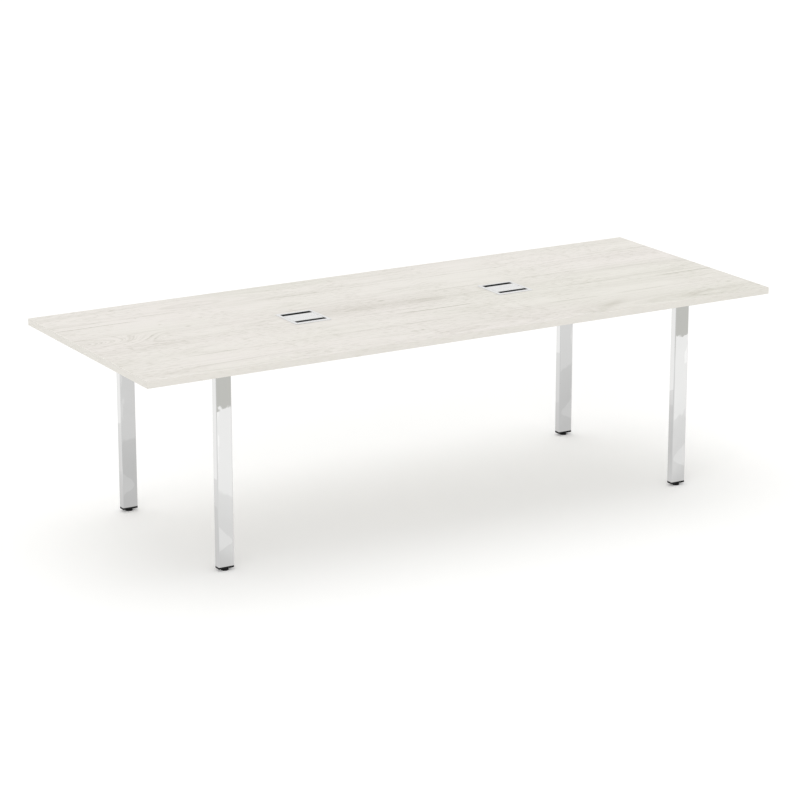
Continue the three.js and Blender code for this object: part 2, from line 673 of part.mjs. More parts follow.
// A clamp at the left end of a hatch: one leg down the collar's end wall and one under the board.
function hatchClamp() {
  const thickness = CLAMP_THICKNESS;
  const height = COLLAR_BELOW_TOP - FIT;
  const bend = new THREE.Shape();
  bend.moveTo(0, -height);
  bend.lineTo(0, -thickness);
  bend.absarc(-thickness, -thickness, thickness, 0, Math.PI / 2);
  bend.lineTo(-CLAMP_REACH, 0);
  bend.lineTo(-CLAMP_REACH, -thickness);
  bend.lineTo(-thickness, -thickness);
  bend.lineTo(-thickness, -height);
  return extrude(bend, CLAMP_WIDTH, "y");
}

function addHatches() {
  const frameShape = hatchFrame();
  const flapShape = hatchFlap();
  const brushShape = hatchBrush();
  const clampShape = hatchClamp();
  const pinShape = bar(PIN_DIAMETER / 2, collarLength - 2 * FIT, "x", HOLE_SIDES);
  for (const { name, x } of ENDS) {
    const hatch = new THREE.Group();
    hatch.position.set(x * HATCH_FROM_MIDDLE, 0, TABLE_HEIGHT);
    place(hatch, `hatch_${name}_frame`, frameShape, materials.silver);
    for (const side of SIDES) {
      const axis = [0, side.y * pinY, pinZ];
      place(hatch, `hatch_${name}_flap_${side.name}`, flapShape, materials.silver, axis, side.turn);
      place(hatch, `hatch_${name}_pin_${side.name}`, pinShape, materials.zinc, axis);
      place(hatch, `hatch_${name}_brush_${side.name}`, brushShape, materials.bristle, [0, 0, 0], side.turn);
    }
    for (const end of ENDS) {
      const clampPlace = [end.x * (collarLength / 2 + FIT), 0, -TOP_THICKNESS - FIT];
      place(hatch, `hatch_${name}_clamp_${end.name}`, clampShape, materials.zinc, clampPlace, end.turn);
    }
    table.add(hatch);
  }
}

addTop();
addLegFrames();
addStretchers();
addFeet();
addHatches();

export default table;
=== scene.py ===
import math
import random

import bmesh
import bpy
from mathutils import Matrix, Vector


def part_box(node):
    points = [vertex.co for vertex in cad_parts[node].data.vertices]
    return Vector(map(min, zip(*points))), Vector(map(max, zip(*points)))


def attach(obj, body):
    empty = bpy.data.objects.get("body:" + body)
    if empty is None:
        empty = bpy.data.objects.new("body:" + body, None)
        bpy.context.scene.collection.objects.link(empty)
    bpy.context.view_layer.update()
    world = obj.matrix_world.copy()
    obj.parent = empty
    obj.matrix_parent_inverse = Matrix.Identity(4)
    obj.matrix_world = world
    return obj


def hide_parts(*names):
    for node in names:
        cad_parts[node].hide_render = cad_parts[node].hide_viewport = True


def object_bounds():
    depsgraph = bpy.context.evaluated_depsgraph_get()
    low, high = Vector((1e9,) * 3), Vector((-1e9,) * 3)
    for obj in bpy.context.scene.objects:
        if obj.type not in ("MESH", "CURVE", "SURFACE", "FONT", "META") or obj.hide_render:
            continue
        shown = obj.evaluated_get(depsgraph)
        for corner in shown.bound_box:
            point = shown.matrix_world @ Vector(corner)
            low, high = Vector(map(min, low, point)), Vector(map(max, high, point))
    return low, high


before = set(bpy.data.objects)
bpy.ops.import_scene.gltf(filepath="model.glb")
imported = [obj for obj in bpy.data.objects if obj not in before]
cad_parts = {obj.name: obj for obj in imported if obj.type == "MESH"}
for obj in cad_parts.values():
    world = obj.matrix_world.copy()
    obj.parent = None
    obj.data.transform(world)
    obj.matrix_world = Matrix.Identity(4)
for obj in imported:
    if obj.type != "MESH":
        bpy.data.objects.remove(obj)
cad_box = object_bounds()

# All sizes are in metres. Places come from the boxes of the frame's nodes.
MM = 0.001
ENDS = {"left": -1, "right": 1}
SIDES = {"front": -1, "back": 1}
BOLT_NUMBERS = range(1, 5)
QUARTER = math.radians(90)
SHARP_ANGLE = math.radians(40)
CLOSE = 1e-6
WHITE = (1, 1, 1, 1)

# Table top: the band is drawn up to the board, with a glue line between them
NODE_GAP = 0.3 * MM
GLUE_LINE = 0.05 * MM
BAND_ROUNDING = 1.2 * MM
CUT_OUT_LENGTH = 130 * MM
CUT_OUT_DEPTH = 138 * MM

# Tubes of the leg frames and the stretchers
TUBE_WALL = 2 * MM
TUBE_ROUNDING = 3 * MM
PLATE_THICKNESS = 4 * MM
PLATE_FOOT_MARGIN = 4 * MM
PLATE_INSET = 1 * MM
PLATE_SHOULDER = 30 * MM
PLATE_EASING = 0.4 * MM
VENT_RADIUS = 6 * MM
VENT_FROM_BOTTOM = 16 * MM
STRETCHER_BOLT_OFFSET = 17 * MM
WELD_SIZE = 2.6 * MM
WELD_EDGE = 0.3 * MM
WELD_BOW = 0.62
WELD_RIPPLE = 2.4 * MM
WELD_RIPPLE_HEIGHT = 0.14

# Bolts and screws
BOLT_RADIUS = 4 * MM
BOLT_HEAD = 4.4 * MM
BOLT_POINT = 0.8 * MM
BOLT_CROWN_DROP = 0.4 * MM
BOLT_SOCKET_BEVEL = 0.1 * MM
BOLT_SOCKET_RIM = 1 * MM
BOLT_SOCKET_FLATS = 5 * MM
BOLT_SOCKET_DEPTH = 2.6 * MM
SCREW_RADIUS = 3 * MM
SCREW_HEAD = 4 * MM
SCREW_HEAD_RADIUS = 6.5 * MM
SCREW_POINT = 4 * MM
RECESS_ARM = 3 * MM
RECESS_WIDTH = 1.7 * MM
RECESS_DEPTH = 2.2 * MM
# How much of a head a recess may take: arm of its radius, depth of its height, and where its crown begins
RECESS_SHARES = (0.55, 0.6, 0.62)
SCREW_CROWN_DROP = 0.3 * MM
SCREW_TIP_RADIUS = 0.3 * MM
# Clamp screws: radius and height of the head, radius and length of the shank; and place along the clamp
CLAMP_SCREW = (4.2 * MM, 2.6 * MM, 2 * MM, 12 * MM)
CLAMP_SCREW_PLACE = 0.58

# Levelling feet
CAP_RIM = 7 * MM
CAP_EASING = 0.8 * MM
CAP_CLEARANCE = 2.3 * MM
CAP_LEAST_ROUNDING = 0.6 * MM
# A pad's rim: how far in from its widest, and height; and its top: how far out from its edge, and depth
PAD_RIM = (
    (3.0 * MM, 0.0),
    (1.0 * MM, 0.0),
    (0.3 * MM, 0.3 * MM),
    (0.0, 1.0 * MM),
    (0.0, 2.4 * MM),
    (0.2 * MM, 2.85 * MM),
    (0.7 * MM, 3.35 * MM),
)
PAD_TOP = ((0.5 * MM, 0.45 * MM), (0.0, 0.1 * MM), (-0.6 * MM, 0.0))
PAD_TOP_RADIUS = 10 * MM
PAD_BORE_RADIUS = 4.3 * MM
PAD_BORE_DEPTH = 2.6 * MM
SPINDLE_RADIUS = 4 * MM
SPINDLE_HEAD_RADIUS = 7 * MM
SPINDLE_HEAD_HEIGHT = 2.4 * MM
SPINDLE_HEAD_LAP = 0.2 * MM
THREAD_PITCH = 1.25 * MM
THREAD_DEPTH = 0.55 * MM
THREAD_TAPER = 0.8 * MM
THREAD_TAPER_LENGTH = 1 * MM

# Cable hatches
HATCH_OPENING = (122 * MM, 130 * MM)
HATCH_ROUNDING = 5 * MM
FLANGE_BEVEL = 1.6 * MM
FLANGE_EASING = 0.35 * MM
FLANGE_TOP_ROUNDINGS = (3.6 * MM, 3.2 * MM)
OPENING_ROUNDINGS = (0.9 * MM, 0.7 * MM, 0.6 * MM)
COLLAR_WALL = 3 * MM
FLAP_PLATE = 2.5 * MM
FLAP_HEEL = 4.45 * MM
FLAP_HEEL_STEPS = 28
FLAP_LIP_WIDTH = 3 * MM
FLAP_LIP_DEPTH = 5 * MM
FLAP_BEVEL = 0.8 * MM
FLAP_EASING = 0.25 * MM
PIN_BORE = 1.55 * MM
LEDGE_REACH = 4 * MM
LEDGE_HEIGHT = 4 * MM
LEDGE_CLEARANCE = 3 * MM
BRUSH_BACKING = 3 * MM
BRUSH_EASING = 0.3 * MM
BRUSH_SHELF_REACH = 4 * MM
BRUSH_SHELF_HEIGHT = 2.5 * MM
BRISTLE_RADIUS = 0.16 * MM
BRISTLE_PITCH = 0.55 * MM
BRISTLE_ROWS = 4
BRISTLE_ROW_PITCH = 0.75 * MM
BRISTLE_TOP_ROW = 0.9 * MM
BRISTLE_START = 0.8 * MM
BRISTLE_MARGINS = 1.2 * MM
BRISTLE_ROOT = 0.6 * MM
# How far a strand may stand from its place along and up, sway and droop at its tip, and its least length
BRISTLE_STRAY = (0.08 * MM, 0.15 * MM, 0.5 * MM, 0.7 * MM, 0.90)
BRISTLE_BENDS = (0.0, 0.55, 1.0)
CLAMP_THICKNESS = 2 * MM
CLAMP_EASING = 0.3 * MM

# The oak print is laid out as boards side by side. Each has its front edge, the line of its heart, how deep
# under the face the heart lies, and how dark it is from 0 to 1.
OAK_BOARDS = (
    (-0.490, -0.400, 0.060, 0.62),
    (-0.272, -0.190, 0.090, 0.58),
    (-0.085, 0.030, 0.035, 0.55),
    (0.105, 0.230, 0.100, 0.44),
    (0.302, 0.400, 0.075, 0.55),
)
OAK_EDGE_SPAN = 0.490
OAK_MIDDLE_DARKNESS = 0.45

# Bends of the grain: waves to the metre along, across and up, and how far the grain is bent
OAK_BENDS = (((0.8, 2.6, 1), 0.055), ((3.5, 11, 1), 0.010))

# How the hearts rise and sink: waves to the metre, difference between boards and height
OAK_HEART_RISE = (1.1, 9.0, 0.09)

# Knots in the print: place along and across the table, and size. The grain flows round them.
OAK_KNOTS = (
    (-0.922, 0.168, 0.004),
    (-0.843, 0.098, 0.006),
    (-0.958, 0.294, 0.004),
    (-0.068, 0.068, 0.008),
    (-0.150, -0.368, 0.005),
    (0.463, -0.352, 0.004),
)
OAK_KNOT_SHAPE = (1.6, 0.9)
OAK_KNOT_FLOW = (9, 4)
OAK_KNOT_PUSH = 0.7

# Drying cracks in the print: start, end and place across the table
OAK_CRACKS = (
    (-0.150, 0.240, -0.126),
    (1.010, 1.340, -0.115),
    (-1.330, -0.930, 0.262),
)
OAK_CRACK_FADE = 0.25
OAK_CRACK_EDGE = (0.0005, 0.0042)

# Seams between the boards: how far they stand off, how soft they are, and their gaps along the table
OAK_SEAM_OFFSET = 0.006
OAK_SEAM_EDGE = (0.0005, 0.005)
OAK_SEAM_GAPS = (5.0, 40)
OAK_SEAM_WANDER = ((6, 24, 1), 0.012)

# Flame figure at the left end: where it is strongest and ends, its line across the table and its breadth
OAK_FLAME = (-1.30, -0.92, 0.040, 0.075)
OAK_FLAME_RISE = 0.11
# Its fine arcs: how close they are, how uneven and how strong
OAK_FLAME_ARCS = (1300.0, 6.0, 0.16)

# Dark heartwood along the middle: its line across the table, its breadth and where it fades out
OAK_HEARTWOOD = (0.055, 0.070)
OAK_HEARTWOOD_ENDS = (0.42, 0.62)
# Its patches: patches to the metre, and seed
OAK_HEARTWOOD_PATCHES = (2.2, 4.0)

# Slanting dark streak at the front: place along and across, slant, length and breadth
OAK_SLANT = (0.620, -0.415, math.radians(31), 0.110, 0.024)

# Growth lines: lines to the metre, changes to the metre along the board, seed, detail and roughness
OAK_LINES = {
    "rings": (150, 0.35, 0.0, 3.0, 0.6),
    "fibres": (520, 4.0, 5.0, 2.0, 0.55),
    "streaks": (75, 1.1, 9.0, 2.0, 0.5),
}
# Marks along the grain: marks to the metre along and across, and seed
OAK_DASHES = {"bands": (0.8, 9.0, 3.0), "flecks": (30, 210, 7.0), "pores": (42, 1500, 2.0)}
OAK_FLECK_PATCHES = 3.0
# From which value of its noise a mark begins, and where it is full
OAK_RANGES = {
    "streaks": (0.58, 0.76),
    "flecks": (0.50, 0.68),
    "fleck patches": (0.30, 0.60),
    "pores": (0.58, 0.70),
    "heartwood": (0.3, 0.6),
    "seams": (0.40, 0.62),
    "warmth": (0.3, 0.7),
}

# How much each part of the figure darkens the print
OAK_GROUND = 0.01
OAK_WEIGHTS = {
    "board": 0.30,
    "heartwood": 0.24,
    "rings": 0.55,
    "flame": 1.65,
    "fibres": 0.50,
    "bands": 0.44,
    "streaks": 0.42,
    "flecks": 0.42,
    "pores": 0.12,
    "seams": 0.42,
    "cracks": 0.90,
    "knots": 0.62,
    "slant": 0.30,
}

# Tones of the print: cool and warm, where it is pale and where it is deep. The print warms towards the left.
OAK_PALE = ((0.806, 0.785, 0.727, 1), (0.830, 0.793, 0.753, 1))
OAK_DEEP = ((0.432, 0.416, 0.336, 1), (0.453, 0.428, 0.357, 1))
OAK_WARMING = 0.07
OAK_WARMTH_WAVES = (0.9, 3.0, 1)
OAK_WARMTH_SHIFT = (4, 7, 0)

# The edges show one line of the print, fainter
OAK_EDGE_LINE = 0.20
OAK_EDGE_FADE = 0.7
OAK_EDGE_TONE = (0.760, 0.738, 0.688, 1)

# Patterns of the other finishes, to the metre, along, across and up where there are three
BRUSHING_CHANGES = 22
CLOUDS_PER_METRE = 60.0
MARK_PATCHES_PER_METRE = 7.0
WIPES_PER_METRE = (25, 60, 25)
WIPE_TURN = (0.3, 0.4, 0.6)
CHROME_WAVES_PER_METRE = (24, 24, 14)
STRANDS_PER_METRE = (1900, 30, 900)

# Grained finishes: grains to the metre, two tones, least and most roughness, strength and depth, and shine
GREY_PAINT = (
    700.0,
    ((0.40, 0.405, 0.41, 1), (0.48, 0.482, 0.485, 1)),
    (0.42, 0.55),
    (0.3, 0.12 * MM),
    0.5,
)
BLACK_PLASTIC = (
    1700.0,
    ((0.005, 0.005, 0.006, 1), (0.014, 0.014, 0.014, 1)),
    (0.45, 0.62),
    (0.35, 0.08 * MM),
    0.2,
)

# Studio: the camera sees the floor a little brighter than it is lit, so that it is white and keeps a shadow
FLOOR_HALF_SIZE = 40.0
FLOOR_GLOW = 0.155
FLOOR_COLOUR = (0.91, 0.91, 0.90, 1)
SKY_LIGHT = 0.70

# Painted reflection of the floor in bright metal, with a painted table shadow: how far from the table's
# outline, and how bright it is there. In slanting strips it brightens sooner, and far in front it is painted
# grey.
PAINTED_FLOOR_REFLECTION = ((-0.30, 0.66), (0.0, 0.71), (0.28, 0.76), (0.32, 0.82), (0.94, 0.88), (0.98, 1.02))
MIRRORED_FLOOR_TINT = 0.993
MIRRORED_FLOOR_WAVE = 0.20
MIRRORED_FLOOR_WAVES_PER_METRE = 9.0
BRIGHT_STRIPS = ((-1.175, 0.509), (0.658, 0.731))
BRIGHT_STRIP_EDGES = (0.14, 0.26)
BRIGHT_STRIP_LEAD = 0.20
BRIGHT_STRIP_SPEED = 4.0
BETWEEN_STRIPS_LIMIT = 0.45
PAINTED_GREY_EDGES = (-2.23, -2.21)
PAINTED_GREY_REFLECTION = (0.64, 0.64, 0.61, 1)

# Painted shade and light that the legs' front faces reflect: how far in front of the face, and how bright it
# is there
LEG_PAINTED_REFLECTIONS = {
    "front": (
        (0.05, 0.70), (0.12, 0.74), (0.22, 0.815), (0.45, 0.83), (0.75, 0.895), (0.79, 1.0), (1.1, 1.03),
    ),
    "back": (
        (0.05, 0.605), (0.12, 0.61), (0.22, 0.63), (0.45, 0.632), (0.82, 0.675), (0.86, 0.75), (1.4, 0.775),
    ),
}
# For each leg: the slant of the strip of painted floor that it reflects, the tilt of its zones, and its gain
LEG_STRIPS = {
    ("front", "left"): (0.509, 1.5, 1.0),
    ("front", "right"): (0.731, -1.5, 1.0),
    ("back", "left"): (0.468, 0.0, 1.0),
    ("back", "right"): (0.672, -1.6, 1.055),
}
LEG_STRIP_EDGES = (0.085, 0.100)
LEG_STRIP_WAVE = 0.3

# Painted highlights in these strips, as paler fins: where they begin, are widest and end, their reach, and
# how much paler
LEG_PAINTED_HIGHLIGHT = (0.17, 0.27, 0.47)
LEG_FIN_ROOT = 0.034
LEG_FIN_REACH = 0.056
LEG_FIN_BLUR = 0.003
LEG_FIN_GAIN = 0.10

# Soft lamps: strength, spread, height above the floor and turn from straight behind the table, in degrees
LAMPS = {
    "soft_top_lamp": (0.75, 60, 75, -20),
    "soft_front_lamp": (1.28, 60, 10, 137),
}

# Camera: where it stands, how far it is turned from straight ahead, and how far it looks down
CAMERA_PLACE = (-5.366, -9.049, 3.402)
CAMERA_TURN = math.radians(30.546)
CAMERA_TILT = math.radians(16.039)
CAMERA_LENS_MM = 132.93
CAMERA_SENSOR_MM = 36.0


class Net:
    """Adds nodes to one node tree. A call returns the socket that the next node reads."""

    def __init__(self, tree):
        self.tree = tree

    def add(self, kind, inputs=None, output=0, **settings):
        node = self.tree.nodes.new(kind)
        for key, value in settings.items():
            setattr(node, key, value)
        for key, value in (inputs or {}).items():
            self.feed(node.inputs[key], value)
        return node.outputs[output]

    def feed(self, socket, value):
        if isinstance(value, bpy.types.NodeSocket):
            self.tree.links.new(value, socket)
        else:
            socket.default_value = value

    def math(self, operation, *values):
        return self.add("ShaderNodeMath", dict(enumerate(values)), operation=operation)

    def chain(self, operation, values):
        result = values[0]
        for value in values[1:]:
            result = self.math(operation, result, value)
        return result

    def total(self, *values):
        return self.chain("ADD", values)

    def times(self, *values):
        return self.chain("MULTIPLY", values)

    def most(self, *values):
        return self.chain("MAXIMUM", values)

    def minus(self, first, second):
        return self.math("SUBTRACT", first, second)

    def apart(self, first, second):
        return self.math("ABSOLUTE", self.minus(first, second))

    def bell(self, value, breadth):
        """A soft hump, 1 where the value is 0."""
        share = self.math("DIVIDE", value, breadth)
        return self.math("POWER", math.e, self.times(self.math("POWER", share, 2.0), -1.0))

    def split(self, vector):
        return self.add("ShaderNodeSeparateXYZ", {"Vector": vector}).node.outputs[:3]

    def join(self, x, y, z=0.0):
        return self.add("ShaderNodeCombineXYZ", {"X": x, "Y": y, "Z": z})

    def stretched(self, vector, scale, shift=(0, 0, 0), turn=(0, 0, 0)):
        inputs = {"Vector": vector, "Scale": scale, "Location": shift, "Rotation": turn}
        return self.add("ShaderNodeMapping", inputs)

    def noise(self, vector, detail=2.0, roughness=0.5, scale=1.0):
        inputs = {"Vector": vector, "Scale": scale, "Detail": detail, "Roughness": roughness}
        return self.add("ShaderNodeTexNoise", inputs)

    def limits(self, value, low, high, to_low=0.0, to_high=1.0, shape="SMOOTHSTEP"):
        inputs = {"Value": value, "From Min": low, "From Max": high, "To Min": to_low, "To Max": to_high}
        return self.add("ShaderNodeMapRange", inputs, interpolation_type=shape)

    def fading(self, value, low, high):
        """1 up to low, and 0 from high on."""
        return self.limits(value, low, high, 1.0, 0.0)

    def ramp(self, value, low, high, stops, interpolation="LINEAR"):
        """The colour at a value, read off stops of value and colour between low and high."""
        node = self.tree.nodes.new("ShaderNodeValToRGB")
        node.color_ramp.interpolation = interpolation
        marks = node.color_ramp.elements
        while len(marks) < len(stops):
            marks.new(1.0)
        for mark, (place, colour) in zip(marks, stops):
            mark.position = (place - low) / (high - low)
            mark.color = colour
        self.feed(node.inputs["Fac"], self.limits(value, low, high, shape="LINEAR"))
        return node.outputs["Color"]

    def mix(self, factor, first, second):
        inputs = {"Factor": factor, 6: first, 7: second}
        return self.add("ShaderNodeMix", inputs, 2, data_type="RGBA")

    def use(self, group, **inputs):
        return self.add("ShaderNodeGroup", inputs, node_tree=group).node.outputs

    def bump(self, height, strength, distance):
        return self.add("ShaderNodeBump", {"Height": height, "Strength": strength, "Distance": distance})


def make_group(name, inputs, outputs, build):
    """A node group. Its builder reads the inputs, and gives the outputs in their order."""
    tree = bpy.data.node_groups.new(name, "ShaderNodeTree")
    for label, kind in inputs.items():
        tree.interface.new_socket(label, in_out="INPUT", socket_type=f"NodeSocket{kind}")
    for label in outputs:
        tree.interface.new_socket(label, in_out="OUTPUT", socket_type="NodeSocketFloat")
    net = Net(tree)
    arriving = tree.nodes.new("NodeGroupInput").outputs
    leaving = tree.nodes.new("NodeGroupOutput").inputs
    for label, result in zip(outputs, build(net, *arriving[:len(inputs)])):
        net.feed(leaving[label], result)
    return tree


def make_material(name, looks, *choices):
    """A material. Its looks are a function that gives the shader's inputs at a place on the surface."""
    material = bpy.data.materials.new(name)
    material.use_nodes = True
    net = Net(material.node_tree)
    shader = material.node_tree.nodes["Principled BSDF"].inputs
    place = net.add("ShaderNodeTexCoord", output="Object")
    for label, value in looks(net, place, *choices).items():
        net.feed(shader[label], value)
    return material


def oak_board_layout(net, across):
    """The heart line, heart depth and darkness of the oak board that a place lies on."""
    stops = [(edge, (heart + 0.5, depth, dark, 1)) for edge, heart, depth, dark in OAK_BOARDS]
    colour = net.ramp(across, -OAK_EDGE_SPAN, OAK_EDGE_SPAN, stops, "CONSTANT")
    layout = net.add("ShaderNodeSeparateColor", {"Color": colour}).node.outputs
    return net.minus(layout[0], 0.5), layout[1], layout[2]


def oak_spot(net, along, across, place, size, slant=0.0):
    """A soft spot in the print, 1 at its middle."""
    x = net.minus(along, place[0])
    y = net.minus(across, place[1])
    turned_x = net.total(net.times(x, math.cos(slant)), net.times(y, math.sin(slant)))
    turned_y = net.minus(net.times(y, math.cos(slant)), net.times(x, math.sin(slant)))
    return net.times(net.bell(turned_x, size[0]), net.bell(turned_y, size[1]))


def oak_crack(net, along, across, start, end, place):
    """A thin line with soft ends, 1 on the crack."""
    fade = OAK_CRACK_FADE * (end - start)
    opening = net.limits(along, start, start + fade)
    closing = net.fading(along, end - fade, end)
    return net.times(net.fading(net.apart(across, place), *OAK_CRACK_EDGE), opening, closing)


def oak_figure(net, position):
    """The figure of whitened oak: grain that runs along X, with rings, pores, streaks, knots and cracks."""
    along, across, _ = net.split(position)
    heart, depth, dark = oak_board_layout(net, across)

    grain = across
    for waves, amount in OAK_BENDS:
        grain = net.total(grain, net.times(net.noise(net.stretched(position, waves)), amount))
    knots = 0.0
    for *place, size in OAK_KNOTS:
        flow = oak_spot(net, along, across, place, [size * share for share in OAK_KNOT_FLOW])
        grain = net.minus(grain, net.times(net.minus(across, place[1]), flow, OAK_KNOT_PUSH))
        spot = oak_spot(net, along, across, place, [size * share for share in OAK_KNOT_SHAPE])
        knots = net.total(knots, spot)

    flame_start, flame_end, flame_line, flame_breadth = OAK_FLAME
    flame = net.times(
        net.fading(along, flame_start, flame_end),
        net.bell(net.minus(across, flame_line), flame_breadth),
    )
    rise_waves, rise_difference, rise_height = OAK_HEART_RISE
    rise = net.noise(net.join(net.times(along, rise_waves), net.times(heart, rise_difference)))
    heart_depth = net.total(depth, net.times(rise, rise_height), net.times(flame, OAK_FLAME_RISE))
    aside = net.minus(grain, heart)
    radius = net.math("SQRT", net.total(net.math("POWER", aside, 2.0), net.math("POWER", heart_depth, 2.0)))

    def lines(density, changes, seed, detail, roughness):
        """Irregular growth lines that change slowly along the board."""
        place = net.join(net.times(along, changes), net.times(radius, density), seed)
        return net.noise(place, detail, roughness)

    def dashes(per_metre_along, per_metre_across, seed):
        """Short marks along the grain."""
        place = net.join(net.times(along, per_metre_along), net.times(grain, per_metre_across), seed)
        return net.noise(place)

    def marks(noise, name):
        """The noise where it is strong enough for a mark."""
        return net.limits(noise, *OAK_RANGES[name])

    rings = lines(*OAK_LINES["rings"])
    flecks = net.times(
        marks(dashes(*OAK_DASHES["flecks"]), "flecks"),
        marks(net.noise(position, scale=OAK_FLECK_PATCHES), "fleck patches"),
    )
    pores = marks(dashes(*OAK_DASHES["pores"]), "pores")
    closeness, unevenness, strength = OAK_FLAME_ARCS
    arcs = net.math("SINE", net.total(net.times(radius, closeness), net.times(rings, unevenness)))
    patches_per_metre, seed = OAK_HEARTWOOD_PATCHES
    patches = marks(net.noise(net.join(net.times(along, patches_per_metre), seed)), "heartwood")
    heart_line, heart_breadth = OAK_HEARTWOOD
    slant_along, slant_across, slant_turn, *slant_size = OAK_SLANT

    wander_waves, wander = OAK_SEAM_WANDER
    crooked = net.total(across, net.times(net.noise(net.stretched(position, wander_waves)), wander))
    seams = 0.0
    for edge, *_ in OAK_BOARDS[1:]:
        line = net.fading(net.apart(crooked, edge + OAK_SEAM_OFFSET), *OAK_SEAM_EDGE)
        gaps = net.noise(net.join(net.times(along, OAK_SEAM_GAPS[0]), edge * OAK_SEAM_GAPS[1]))
        seams = net.total(seams, net.times(line, marks(gaps, "seams")))
    cracks = 0.0
    for crack in OAK_CRACKS:
        cracks = net.total(cracks, oak_crack(net, along, crooked, *crack))

    parts = {
        "board": net.minus(dark, OAK_MIDDLE_DARKNESS),
        "heartwood": net.times(
            net.bell(net.minus(grain, heart_line), heart_breadth),
            patches,
            net.fading(net.math("ABSOLUTE", along), *OAK_HEARTWOOD_ENDS),
        ),
        "rings": net.minus(rings, 0.5),
        "flame": net.times(net.total(rings, -0.5, net.times(arcs, strength)), flame),
        "fibres": net.minus(lines(*OAK_LINES["fibres"]), 0.5),
        "bands": net.minus(dashes(*OAK_DASHES["bands"]), 0.5),
        "streaks": marks(lines(*OAK_LINES["streaks"]), "streaks"),
        "flecks": flecks,
        "pores": pores,
        "seams": seams,
        "cracks": cracks,
        "knots": knots,
        "slant": oak_spot(net, along, across, (slant_along, slant_across), slant_size, slant_turn),
    }
    weighed = [net.times(parts[name], weight) for name, weight in OAK_WEIGHTS.items()]
    shade = net.limits(net.total(OAK_GROUND, *weighed), 0.0, 1.0, shape="LINEAR")
    tone = net.noise(net.stretched(position, OAK_WARMTH_WAVES, OAK_WARMTH_SHIFT))
    warmth = marks(net.minus(tone, net.times(along, OAK_WARMING)), "warmth")
    return shade, warmth, net.most(pores, cracks)


def brushing(net, position, density):
    """Fine lines along X, as brushing or drawing leaves in metal, from 0 to 1."""
    along, across, up = net.split(position)
    side = net.times(net.total(across, up), density)
    return [net.noise(net.join(net.times(along, BRUSHING_CHANGES), side), 3.0, 0.6)]


def moulded_grain(net, position, density):
    """The fine grain of moulded plastic or powder paint, and wide clouds in it, from 0 to 1."""
    cells = {"Vector": position, "Scale": density, "Randomness": 1.0}
    grain = net.add("ShaderNodeTexVoronoi", cells, feature="SMOOTH_F1")
    return grain, net.noise(position, 4.0, 0.6, scale=CLOUDS_PER_METRE)


def handling_marks(net, position):
    """Faint wipe and finger marks on a clean surface, from 0 to 1."""
    patches = net.limits(net.noise(position, 3.0, 0.6, scale=MARK_PATCHES_PER_METRE), 0.45, 0.75)
    wipes = net.noise(net.stretched(position, WIPES_PER_METRE, turn=WIPE_TURN), 3.0)
    return [net.times(patches, wipes)]


PLACED = {"Position": "Vector"}
PLACED_AND_SCALED = {"Position": "Vector", "Density": "Float"}
OAK_FIGURE = make_group("Oak figure", PLACED, ("Shade", "Warmth", "Pores"), oak_figure)
BRUSHING = make_group("Brushing", PLACED_AND_SCALED, ["Lines"], brushing)
MOULDED_GRAIN = make_group("Moulded grain", PLACED_AND_SCALED, ("Grain", "Cloud"), moulded_grain)
HANDLING_MARKS = make_group("Handling marks", PLACED, ["Marks"], handling_marks)


def oak(net, place, turn=(0, 0, 0), shift=(0, 0, 0), fade=0.0):
    """Laminate printed as whitened oak; turn and shift lay the print on an edge, fade makes it fainter."""
    shade, warmth, pores = net.use(OAK_FIGURE, Position=net.stretched(place, (1, 1, 1), shift, turn))
    marks = net.use(HANDLING_MARKS, Position=place)["Marks"]
    colour = net.mix(shade, net.mix(warmth, *OAK_PALE), net.mix(warmth, *OAK_DEEP))
    if fade > 0:
        colour = net.mix(fade, colour, OAK_EDGE_TONE)
    return {
        "Base Color": colour,
        "Roughness": net.total(0.46, net.times(pores, 0.12), net.times(marks, 0.06)),
        "Normal": net.bump(net.times(pores, -1.0), 0.25, 0.05 * MM),
        "Specular IOR Level": 0.15,
    }


def chrome(net, place):
    """Bright chromed tube, slightly wavy under the plating."""
    marks = net.use(HANDLING_MARKS, Position=place)["Marks"]
    wave = net.noise(net.stretched(place, CHROME_WAVES_PER_METRE), 1.5, 0.4)
    return {
        "Base Color": net.mix(marks, (0.81, 0.81, 0.808, 1), (0.78, 0.78, 0.778, 1)),
        "Roughness": net.limits(marks, 0.0, 1.0, 0.012, 0.05),
        "Normal": net.bump(wave, 0.40, 1.0 * MM),
        "Metallic": 1.0,
    }


def silver(net, place):
    """Satin anodised aluminium, brushed along the hatch."""
    lines = net.use(BRUSHING, Position=place, Density=2600.0)["Lines"]
    marks = net.use(HANDLING_MARKS, Position=place)["Marks"]
    return {
        "Base Color": net.mix(lines, (0.64, 0.64, 0.637, 1), (0.91, 0.91, 0.902, 1)),
        "Roughness": net.total(net.limits(lines, 0.2, 0.8, 0.22, 0.34), net.times(marks, 0.1)),
        "Normal": net.bump(lines, 0.12, 0.02 * MM),
        "Metallic": 1.0,
    }


def zinc(net, place):
    """Zinc-plated steel with a faint yellow and blue cast."""
    cloud = net.use(MOULDED_GRAIN, Position=place, Density=4000.0)["Cloud"]
    lines = net.use(BRUSHING, Position=place, Density=1800.0)["Lines"]
    return {
        "Base Color": net.mix(cloud, (0.66, 0.68, 0.71, 1), (0.72, 0.70, 0.62, 1)),
        "Roughness": net.limits(lines, 0.2, 0.8, 0.24, 0.42),
        "Normal": net.bump(lines, 0.1, 0.02 * MM),
        "Metallic": 1.0,
    }


